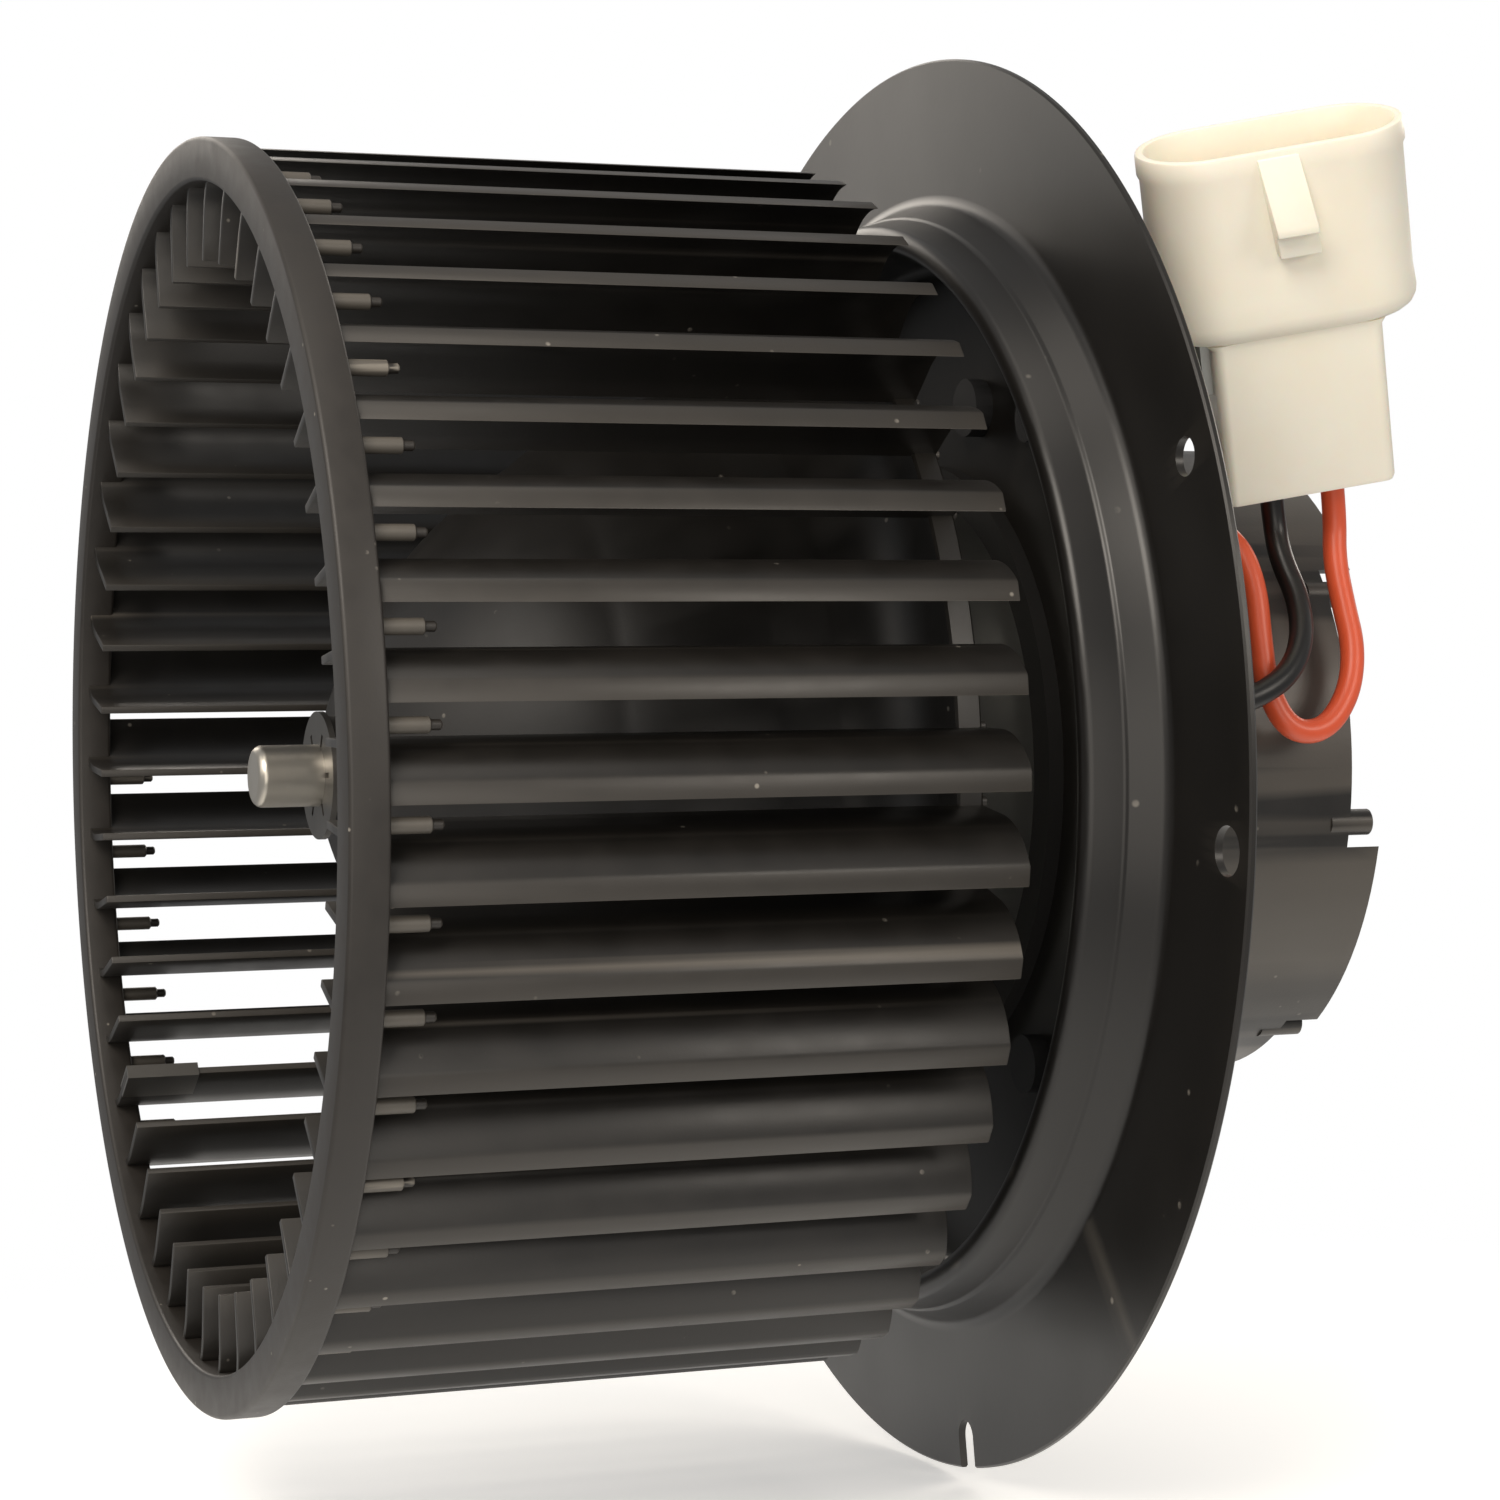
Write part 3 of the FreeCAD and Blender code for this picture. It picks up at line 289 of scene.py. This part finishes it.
finishes = {
    # black glass-filled nylon from a lightly eroded mould: soft broad sheen. The mould's grain is
    # about 0.1 mm on the real thing and is drawn at 0.35 mm so that it shows
    "mouldedNylon": look("#151412", "#201D1A", "#6A645C", 0.4, cloudMm=6, roughSpread=0.1, wearShare=0.6,
                         dustShare=0.7, shader={"IOR": 1.53}),
    # the same nylon on the rim, painted lighter and greyer than on the blades and hub: partly real dust
    # and rubbing, partly painted light standing in for the light the rim's outer band catches; duller,
    # and scuffed pale along its edges
    "rubbedNylonWithPaintedLight": look("#211E1B", "#2D2925", "#8A847A", 0.47, cloudMm=3, roughSpread=0.1, wearShare=0.8,
                        dustShare=0.7, dustMm=3.0, shader={"IOR": 1.53}),
    # satin stoved enamel over pressed steel: smoother, with a faint orange peel about 1 mm across
    "satinEnamel": look("#131211", "#191715", "#4A4640", 0.34, grainMm=1.1, grainDepthMm=0.02, bump=0.25,
                        dustShare=0.5, dustMm=6.0, wearShare=0.5, shader={"IOR": 1.5}),
    # ground and polished shaft steel: fine rings round the axis that stretch the highlights. They
    # are drawn 0.15 mm apart, coarser than real grinding marks, so that they show
    "groundSteel": look("#CFCAC0", "#BDB7AC", "#E4E0D8", 0.33, grainMm=6, grainDepthMm=0.006, bump=0.4,
                        stretch=(1, 40, 1), metallic=1.0),
    # tempered strip, straw-grey and dull from the oil bath
    "springSteel": look("#6B6966", "#5C5A57", "#8F8C87", 0.4, metallic=1.0),
    # screws and rivet blackened in oxide: dark, barely glossy
    "blackOxide": look("#1B1B1C", "#242425", "#4A4A4C", 0.5),
    # zinc plate on drawn steel: pale grey, mottled by its crystals, half dull
    "zincPlate": look("#A9A9A4", "#8F908C", "#C9C9C4", 0.38, cloudMm=5, metallic=1.0),
    # ivory PBT from a polished mould: milky, slightly translucent
    "ivoryPbt": look("#FAF6E9", "#F4ECD8", "#FDFBF4", 0.38, grainMm=0.5, bump=0.2, cloudMm=9,
                     shader={"IOR": 1.55, "Subsurface Weight": 0.15, "Subsurface Scale": 0.002}),
    # extruded PVC insulation: smooth, waxy highlight along the lead
    "redPvc": look("#DC5430", "#E2603C", "#EA8464", 0.36, grainMm=0.6, bump=0.2, shader={"IOR": 1.53}),
    "blackPvc": look("#0F0E0E", "#151413", "#2C2A28", 0.36, grainMm=0.6, bump=0.2, shader={"IOR": 1.53}),
    # moulded EPDM rubber: matt, dusty black
    "epdmRubber": look("#1C1B1A", "#232221", "#33312F", 0.7, grainMm=0.4),
    # stamped brass and enamelled copper wire: warm, bright on their edges
    "stampedBrass": look("#C9A24B", "#B48F40", "#E2C883", 0.3, metallic=1.0),
    "enamelledCopper": look("#A8542B", "#B8683A", "#D08A5A", 0.35, metallic=1.0),
    # oil-filled sintered bronze: brown and grainy
    "sinteredBronze": look("#8A6236", "#76522C", "#A98250", 0.5, grainMm=0.25, metallic=1.0),
    # stacked iron sheets: dark grey with a fine step from sheet to sheet
    "laminatedIron": look("#4A4A4C", "#565658", "#77777A", 0.45, stretch=(1, 30, 1), metallic=1.0),
    # fired ferrite and pressed graphite: charcoal, dry and dull
    "sinteredFerrite": look("#2B2B2D", "#343436", "#4C4C4F", 0.6, grainMm=0.25),
    "pressedGraphite": look("#1D1D1F", "#28282A", "#3A3A3D", 0.5),
    # paper laminate set in phenolic resin: brown, cloudy, half gloss
    "phenolicSheet": look("#5A3420", "#6A4028", "#86583B", 0.48, cloudMm=4),
    # undyed moulded nylon: milky white
    "whiteNylon": look("#DAD8D0", "#E6E4DC", "#F2F0EA", 0.45),
}
materials = {name: grained(name, values) for name, values in finishes.items()}
slotFinish = {
    "wheel_nylon": "mouldedNylon", "spring_steel": "springSteel", "shaft_steel": "groundSteel",
    "core_steel": "laminatedIron", "winding_copper": "enamelledCopper", "white_nylon": "whiteNylon",
    "can_steel": "zincPlate", "ferrite": "sinteredFerrite", "sintered_bronze": "sinteredBronze",
    "phenolic": "phenolicSheet", "carbon": "pressedGraphite", "holder_brass": "stampedBrass",
    "plate_paint": "satinEnamel", "collar_rubber": "epdmRubber", "cover_nylon": "mouldedNylon",
    "screw_steel": "blackOxide", "connector_nylon": "ivoryPbt", "red_insulation": "redPvc",
    "black_insulation": "blackPvc",
}
for part in frame["record"]["subparts"]:
    node = frame["nodes"][part["node"]]
    chosen = materials[slotFinish[part["material_slot"]]]
    if not node.material_slots:
        node.data.materials.append(chosen)
    for place in node.material_slots:
        place.material = chosen
print("materials made:", len(materials))


plug = {"mouth": (58.0, 24.1, 77.4), "along": (0.322, 0.933, 0.157), "up": (0.327, -0.266, 0.907),
        "half": 16.8, "round": 8.4, "tailHalf": 10.9, "tailWide": 7.0, "tailDepth": 45.7,
        "leadOffset": 4.0,
        # rings from the socket's floor, over the lip and down the shell: z, and how far in the ring
        # lies from the shell's half length and half width
        "shell": [(-18.0, 2.0, 2.0), (-17.6, 1.7, 1.7), (-4.0, 1.6, 1.6), (-0.4, 1.15, 1.15),
                  (-0.1, 1.03, 1.03), (0, 0.8, 0.8), (0, 0.4, 0.4), (-0.12, 0.12, 0.12), (-0.4, 0, 0),
                  (-2.8, 0, 0), (-3.4, 0.3, 0.06), (-19.0, 0.25, 0.1), (-21.6, 0, 0),
                  (-22.6, 0.15, 0.15), (-23.4, 0.6, 0.6), (-23.9, 1.3, 1.2), (-24.05, 2.2, 1.4)],
        # the tail's rings: the same, from its own half sizes, and the corner's radius
        "tail": [(-24.1, -0.7, 0, 2.0), (-24.8, 0, 0, 1.5), (-44.9, 0, 0, 1.4), (-45.5, 0.25, 0.25, 1.2),
                 (-45.7, 0.8, 0.8, 1.0)],
        # the latch ramp's side view: how far proud of the shell, and z
        "ramp": [(-0.5, -0.8), (0.3, -0.9), (3.3, -9.2), (3.4, -10.2), (1.9, -10.4), (1.9, -13.2),
                 (-0.5, -13.3)],
        "rampSides": (-2.0, 3.2), "rampLean": 0.12, "rampFoot": -13.3}
plugUp = Vector(plug["up"]).normalized()
plugSide = plugUp.cross(Vector(plug["along"])).normalized()
plugAlong = plugSide.cross(plugUp)


def inPlug(x, y, z):
    # from the connector's own frame to the model's, both in mm
    return Vector(plug["mouth"]) + plugAlong * x + plugSide * y + plugUp * z


redExit = inPlug(plug["leadOffset"], 0, -plug["tailDepth"])
blackExit = inPlug(-plug["leadOffset"], 0, -plug["tailDepth"])
leads = {
    "redLead": {"node": "red_lead", "slot": "red_insulation", "finish": "redPvc", "length": 0.0781,
                "route": [redExit, redExit - plugUp * 6, (43.2, 40.9, 25.6), (44.7, 41.2, 19.8),
                          (46.4, 41.7, 13.8), (47.8, 40.0, 7.9), (48.6, 35.9, 3.3), (48.5, 30.9, 3.4),
                          (47.5, 28.3, 8.7), (46.7, 27.9, 15.2), (45.6, 28.0, 21.6),
                          (43.6, 27.0, 27.0), (40.6, 24.4, 30.0), (36.8, 22.6, 30.6),
                          (33.4, 21.0, 29.0)]},
    "blackLead": {"node": "black_lead", "slot": "black_insulation", "finish": "blackPvc",
                  "length": 0.0506,
                  "route": [blackExit, blackExit - plugUp * 5, (41.9, 33.7, 25.8), (45.2, 34.4, 20.4),
                            (49.0, 32.8, 15.2), (51.2, 29.8, 10.9), (52.2, 25.0, 8.0),
                            (51.6, 19.5, 6.4), (49.4, 14.6, 4.8), (45.2, 12.0, 3.2)]},
}
leadDiameter = 3.1 * mm


def makeLead(name, v):
    curve = bpy.data.curves.new(name, "CURVE")
    curve.dimensions = "3D"
    curve.bevel_depth = leadDiameter / 2
    curve.bevel_resolution = 6
    curve.resolution_u = 16
    curve.use_fill_caps = True
    spline = curve.splines.new("NURBS")
    spline.points.add(len(v["route"]) - 1)
    for point, place in zip(spline.points, v["route"]):
        point.co = (*(Vector(place) * mm), 1)
    spline.order_u = 3
    spline.use_endpoint_u = True
    lead = bpy.data.objects.new(name, curve)
    bpy.context.scene.collection.objects.link(lead)
    curve.materials.append(materials[v["finish"]])
    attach(lead, "stator")
    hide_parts(v["node"])


for leadName, leadValues in leads.items():
    makeLead(leadName, leadValues)
print("leads laid")


wheel = {"front": -99.8, "rimWide": 4.7, "outer": 80.0, "rimInner": 74.6, "edge": 0.5, "blades": 45,
         "start": -2.3, "bladeInner": 64.5, "bend": 70.6, "bladeOuter": 78.8, "rise": 7.0, "curve": 9.6,
         "thick": 1.0, "setback": 1.4, "back": -19.5, "pegCircle": 77.0, "pegLag": 1.6,
         "pegRadius": 0.95, "pegLong": 5.2, "pegTip": 0.6, "pegTipLong": 1.3,
         "pegEdge": 0.2, "pegSunk": 0.4, "backPeg": 63.6, "bladeMiddle": 67.5, "rimGap": 0.2,
         "intoRim": 0.3}


def makeRim(v):
    back = v["front"] + v["rimWide"]
    e = v["edge"]
    band = revolve(roundCorners([(v["rimInner"], v["front"], e), (v["outer"], v["front"], e),
                                 (v["outer"], back, e), (v["rimInner"], back, e)], steps=4))
    r, tip, e = v["pegRadius"], v["pegTip"], v["pegEdge"]
    long, full = v["pegLong"], v["pegLong"] + v["pegTipLong"]
    steps = [(r, -v["pegSunk"]), (r, long - e), (r - e, long), (tip, long), (tip, full - e),
             (tip - e, full)]
    turnStep = 360 / v["blades"]
    pegs = [pin(v["pegCircle"], v["start"] - v["pegLag"] + k * turnStep, back, steps)
            for k in range(v["blades"])]
    verts, faces = joinShapes([band] + pegs)
    # the rim takes the nylon painted lighter, partly painted light standing in for light on its outer
    # band
    makePiece("frontRim", verts, faces, "rotor", materials["rubbedNylonWithPaintedLight"], ["wheel_rim"])


def bladeSection(v):
    # pairs of points above and below the blade's middle line, inner edge to outer edge
    low = v["rise"] - v["curve"]
    reach = v["bladeOuter"] - v["bend"]
    inside = v["curve"] - v["thick"]
    pairs = [((x, v["rise"]), (x, v["rise"] - v["thick"]))
             for x in (v["bladeInner"], v["bladeMiddle"], v["bend"])]
    steps = 16
    for i in range(1, steps + 1):
        above = math.asin(reach / v["curve"]) * i / steps
        below = math.asin(reach / inside) * i / steps
        pairs.append(((v["bend"] + v["curve"] * math.sin(above), low + v["curve"] * math.cos(above)),
                      (v["bend"] + inside * math.sin(below), low + inside * math.cos(below))))
    return pairs


def makeBlade(v, degrees):
    pairs = bladeSection(v)
    verts = []
    for above, below in pairs:
        insideRim = above[0] < v["rimInner"] - v["rimGap"]
        front = v["front"] + (v["setback"] if insideRim else v["rimWide"] - v["intoRim"])
        for x, t in (above, below):
            verts += [turned((x, front, t), degrees), turned((x, v["back"], t), degrees)]
    faces = []
    for i in range(len(pairs) - 1):
        a, b = i * 4, (i + 1) * 4
        faces += [(a, b, b + 1, a + 1), (a + 2, a + 3, b + 3, b + 2), (a, a + 2, b + 2, b),
                  (a + 1, b + 1, b + 3, a + 3)]
    last = (len(pairs) - 1) * 4
    faces += [(0, 1, 3, 2), (last, last + 2, last + 3, last + 1)]
    return verts, faces


def makeBlades(v):
    step = 360 / v["blades"]
    verts, faces = joinShapes([makeBlade(v, v["start"] + k * step) for k in range(v["blades"])])
    makePiece("wheelBlades", verts, faces, "rotor", materials["mouldedNylon"],
              ["wheel_blades"], bevel=0.14)


hub = {"bore": 3.97, "boss": 7.6, "front": -82.3, "bossBack": -60.0, "edge": 0.3, "fillet": 0.2,
       # the dome's skin outside, as (radius, y) from its top to its foot
       "top": (10.0, -80.4), "shoulder": (40.7, -55.0), "side": (49.0, -38.0), "foot": (49.0, -31.0),
       "flare": (61.5, -22.8), "topCurve": 62.0, "shoulderCurve": 34.0, "footCurve": 12.0,
       "ring": 65.5, "ringFront": -22.8, "ringBack": -19.5,
       # and inside, from the ring back to the top
       "flareIn": (61.5, -19.5), "footIn": (47.0, -29.4), "sideIn": (47.0, -37.6),
       "shoulderIn": (39.1, -53.7), "topIn": (9.4, -78.4), "footCurveIn": 14.0,
       "shoulderCurveIn": 32.0, "topCurveIn": 60.0,
       "pegRadius": 0.6, "pegLong": 1.2, "pegEdge": 0.15, "pegSunk": 0.3}


def makeHub(v, w):
    edge, fillet, boss, ring = v["edge"], v["fillet"], v["boss"], v["ring"]
    top = v["top"][1]
    outline = [(v["bore"], v["front"]), (boss - edge, v["front"]), (boss, v["front"] + edge),
               (boss, top - fillet), (boss + 2 * fillet, top), v["top"]]
    outline += arcPoints(v["top"], v["shoulder"], v["topCurve"], 40)
    outline += arcPoints(v["shoulder"], v["side"], v["shoulderCurve"], 20)
    outline.append(v["foot"])
    outline += arcPoints(v["foot"], v["flare"], -v["footCurve"], 16)
    outline += [(ring - edge, v["ringFront"]), (ring, v["ringFront"] + edge),
                (ring, v["ringBack"] - edge), (ring - edge, v["ringBack"]), v["flareIn"]]
    outline += arcPoints(v["flareIn"], v["footIn"], v["footCurveIn"], 16)
    outline.append(v["sideIn"])
    outline += arcPoints(v["sideIn"], v["shoulderIn"], -v["shoulderCurveIn"], 20)
    outline += arcPoints(v["shoulderIn"], v["topIn"], -v["topCurveIn"], 30)
    outline += [(boss, v["topIn"][1]), (boss, v["bossBack"] - edge), (boss - edge, v["bossBack"]),
                (v["bore"], v["bossBack"])]
    bell = revolve(outline, 256)
    step = 360 / w["blades"]
    pegSteps = [(v["pegRadius"], -v["pegSunk"]), (v["pegRadius"], v["pegLong"] - v["pegEdge"]),
                (v["pegRadius"] - v["pegEdge"], v["pegLong"])]
    pegs = [pin(w["backPeg"], w["start"] - w["pegLag"] + k * step, w["back"], pegSteps)
            for k in range(w["blades"])]
    verts, faces = joinShapes([bell] + pegs)
    makePiece("wheelHub", verts, faces, "rotor", materials["mouldedNylon"],
              ["wheel_hub"])


shaft = {"radius": 3.97, "front": -91.5, "back": 43.0, "nose": 1.2, "tail": 0.8}


def makeShaft(v):
    r, nose, tail = v["radius"], v["nose"], v["tail"]
    outline = roundCorners([(0.0, v["front"], 0), (r, v["front"], nose), (r, v["back"], tail),
                            (0.0, v["back"], 0)], steps=8)
    verts, faces = revolve(outline, 96)
    makePiece("motorShaft", verts, faces, "rotor", materials["groundSteel"],
              ["motor_shaft"], smoothAngle=50)


makeRim(wheel)
makeBlades(wheel)
makeHub(hub, wheel)
makeShaft(shaft)
print("wheel made")


plate = {"thick": 1.0,
         # the front skin from the flange's rim over the bead to the motor hole: radius, y, rounding
         "skin": [(94.15, 0, 0), (75.4, 0, 1.9), (73.5, -4.5, 0.9), (73.1, -4.9, 0.9), (71.9, -9.6, 1.6),
                  (69.2, -9.6, 1.5), (67.6, 3.0, 2.0), (38.5, 3.0, 0)],
         "rim": [(94.4, 0.75), (94.4, 0.25)], "cutFront": -3, "cutBack": 7, "pastRim": 8.0,
         "slotAngle": -81.5, "slotWide": 4.6, "slotEnd": 88.1,
         "holes": [(2.35, 87.6, 105.2), (2.35, 87.6, -105.2), (2.95, 89.2, 74.9), (2.95, 89.2, -74.9)],
         "screws": (2.0, 50.0, 69.5), "rivet": (1.6, 55.0, 53.13)}


def plateProfile(v):
    front = roundCorners(v["skin"], closed=False, steps=8)
    back = []
    for i, (r, y) in enumerate(front):
        before = Vector(front[max(i - 1, 0)])
        after = Vector(front[min(i + 1, len(front) - 1)])
        along = (after - before).normalized()
        back.append((r + along.y * v["thick"], y - along.x * v["thick"]))
    return front + back[::-1] + v["rim"]


def cutter(radius, circle, degrees, reach=0.0):
    # round bar through the sheet, drawn out to the rim for an open slot
    outline = []
    for i in range(48):
        t = 2 * math.pi * i / 48
        x = circle + radius * math.cos(t)
        outline.append((x + (reach if math.cos(t) > 0 else 0), radius * math.sin(t)))
    return loft([[turned((x, y, z), degrees) for x, z in outline]
                 for y in (plate["cutFront"], plate["cutBack"])])


def makePlate(v):
    verts, faces = revolve(plateProfile(v))
    piece = makePiece("mountingPlate", verts, faces, "stator", materials["satinEnamel"],
                      ["mounting_plate"])
    bars = [cutter(r, circle, v["slotAngle"] + angle) for r, circle, angle in v["holes"]]
    half = v["slotWide"] / 2
    bars.append(cutter(half, v["slotEnd"] + half, v["slotAngle"], v["pastRim"]))
    r, circle, angle = v["screws"]
    bars += [cutter(r, circle, angle + 120 * k) for k in range(3)]
    bars.append(cutter(*v["rivet"]))
    barVerts, barFaces = joinShapes(bars)
    mesh = bpy.data.meshes.new("holeBars")
    mesh.from_pydata([Vector(p) * mm for p in barVerts], [], barFaces)
    work = bmesh.new()
    work.from_mesh(mesh)
    bmesh.ops.recalc_face_normals(work, faces=work.faces)
    work.to_mesh(mesh)
    work.free()
    tool = bpy.data.objects.new("holeBars", mesh)
    bpy.context.scene.collection.objects.link(tool)
    cut = piece.modifiers.new("holes", "BOOLEAN")
    cut.operation = "DIFFERENCE"
    cut.solver = "EXACT"
    cut.object = tool
    applyModifiers(piece)
    bpy.data.objects.remove(tool)
    smoothPiece(piece, 32)


makePlate(plate)
print("plate made")


def plugRing(z, half, wide, corner, steps=10):
    # rounded rectangle across the connector
    ring = []
    for k, (sx, sy) in enumerate(((1, 1), (-1, 1), (-1, -1), (1, -1))):
        for i in range(steps + 1):
            t = math.pi / 2 * (k + i / steps)
            x = sx * (half - corner) + corner * math.cos(t)
            y = sy * (wide - corner) + corner * math.sin(t)
            ring.append(inPlug(x, y, z))
    return ring


def makeConnector(v):
    rings = []
    for z, inLong, inWide in v["shell"]:
        wide = v["round"] - inWide
        rings.append(plugRing(z, v["half"] - inLong, wide, wide - 0.01))
    for z, inLong, inWide, corner in v["tail"]:
        rings.append(plugRing(z, v["tailHalf"] - inLong, v["tailWide"] - inWide, corner))
    verts, faces = loft(rings)
    makePiece("connectorHousing", verts, faces, "stator", materials["ivoryPbt"],
              ["connector_housing"])
    # a wedge that the mating latch rides over, with a lower foot under its square end; its sides
    # lean a little, so it is set over at the mouth
    rampRings = [[inPlug(x - v["rampLean"] * (z - v["rampFoot"]), -v["round"] - proud, z)
                  for proud, z in v["ramp"]] for x in v["rampSides"]]
    verts, faces = loft(rampRings)
    makePiece("connectorLatchRamp", verts, faces, "stator", materials["ivoryPbt"],
              bevel=0.18)


makeConnector(plug)
print("connector made")


studio = {"floorZ": cadBox[0][2] - 0.0006, "floorColour": "#F6F5F2", "size": 2.0, "fade": (0.1, 0.26),
          "backdrop": 1.0, "fill": 0.34, "floorGlow": 0.4, "lampColour": "#FFF6EA",
          "lamps": [("key", (0.75, -0.75, 0.75), 0.6, 10.0), ("side", (0.9, 0.45, 0.35), 0.35, 2.3),
                    ("low", (0.7, -0.3, -0.02), 0.5, 1.3), ("intake", (0.15, -0.9, 0.5), 0.7, 2.2),
                    ("top", (0.25, -0.15, 1.0), 0.5, 1.3), ("rear", (-0.55, 0.95, 0.55), 0.6, 5.0),
                    ("far", (-0.95, -0.15, 0.5), 0.5, 3.0)]}


def makeStudio(v):
    floorMaterial = grained("palePaper", look(v["floorColour"], "#F4F3F0", "#FFFFFF", 0.75, wearShare=0.0,
                                              bump=0.05, cloudMm=300, grainMm=2))
    # the paper fades out away from the part, so no horizon shows
    tree = floorMaterial.node_tree
    place = addNode(tree, "ShaderNodeTexCoord")
    away = addNode(tree, "ShaderNodeVectorMath", {"Vector": place.outputs["Object"]}, operation="LENGTH")
    cover = addNode(tree, "ShaderNodeMapRange", {"Value": away.outputs["Value"], "From Min": v["fade"][0],
                                                 "From Max": v["fade"][1], "To Min": 1.0, "To Max": 0.0},
                    interpolation_type="SMOOTHSTEP")
    paper = tree.nodes["Principled BSDF"]
    tree.links.new(cover.outputs["Result"], paper.inputs["Alpha"])
    paper.inputs["Emission Color"].default_value = (1, 1, 1, 1)
    paper.inputs["Emission Strength"].default_value = v["floorGlow"]
    half = v["size"] / 2
    mesh = bpy.data.meshes.new("floor")
    corners = [(-half, -half), (half, -half), (half, half), (-half, half)]
    mesh.from_pydata([(x, y, v["floorZ"]) for x, y in corners], [], [(0, 1, 2, 3)])
    floor = bpy.data.objects.new("floor", mesh)
    bpy.context.scene.collection.objects.link(floor)
    mesh.materials.append(floorMaterial)
    # the air looks white behind the part but lights it less than that
    world = bpy.data.worlds.new("studioAir")
    world.use_nodes = True
    air = world.node_tree
    path = addNode(air, "ShaderNodeLightPath")
    strength = addNode(air, "ShaderNodeMapRange", {"Value": path.outputs["Is Camera Ray"],
                                                   "To Min": v["fill"], "To Max": v["backdrop"]})
    air.nodes["Background"].inputs["Color"].default_value = (1, 1, 1, 1)
    air.links.new(strength.outputs["Result"], air.nodes["Background"].inputs["Strength"])
    bpy.context.scene.world = world
    for name, place, size, power in v["lamps"]:
        data = bpy.data.lights.new(name, "AREA")
        data.size = size
        data.energy = power
        data.color = linear(v["lampColour"])[:3]
        lamp = bpy.data.objects.new(name, data)
        bpy.context.scene.collection.objects.link(lamp)
        lamp.location = place
        lamp.rotation_euler = (-Vector(place)).to_track_quat("-Z", "Y").to_euler()
    bpy.context.scene.view_settings.view_transform = "Standard"


makeStudio(studio)
print("studio lit")
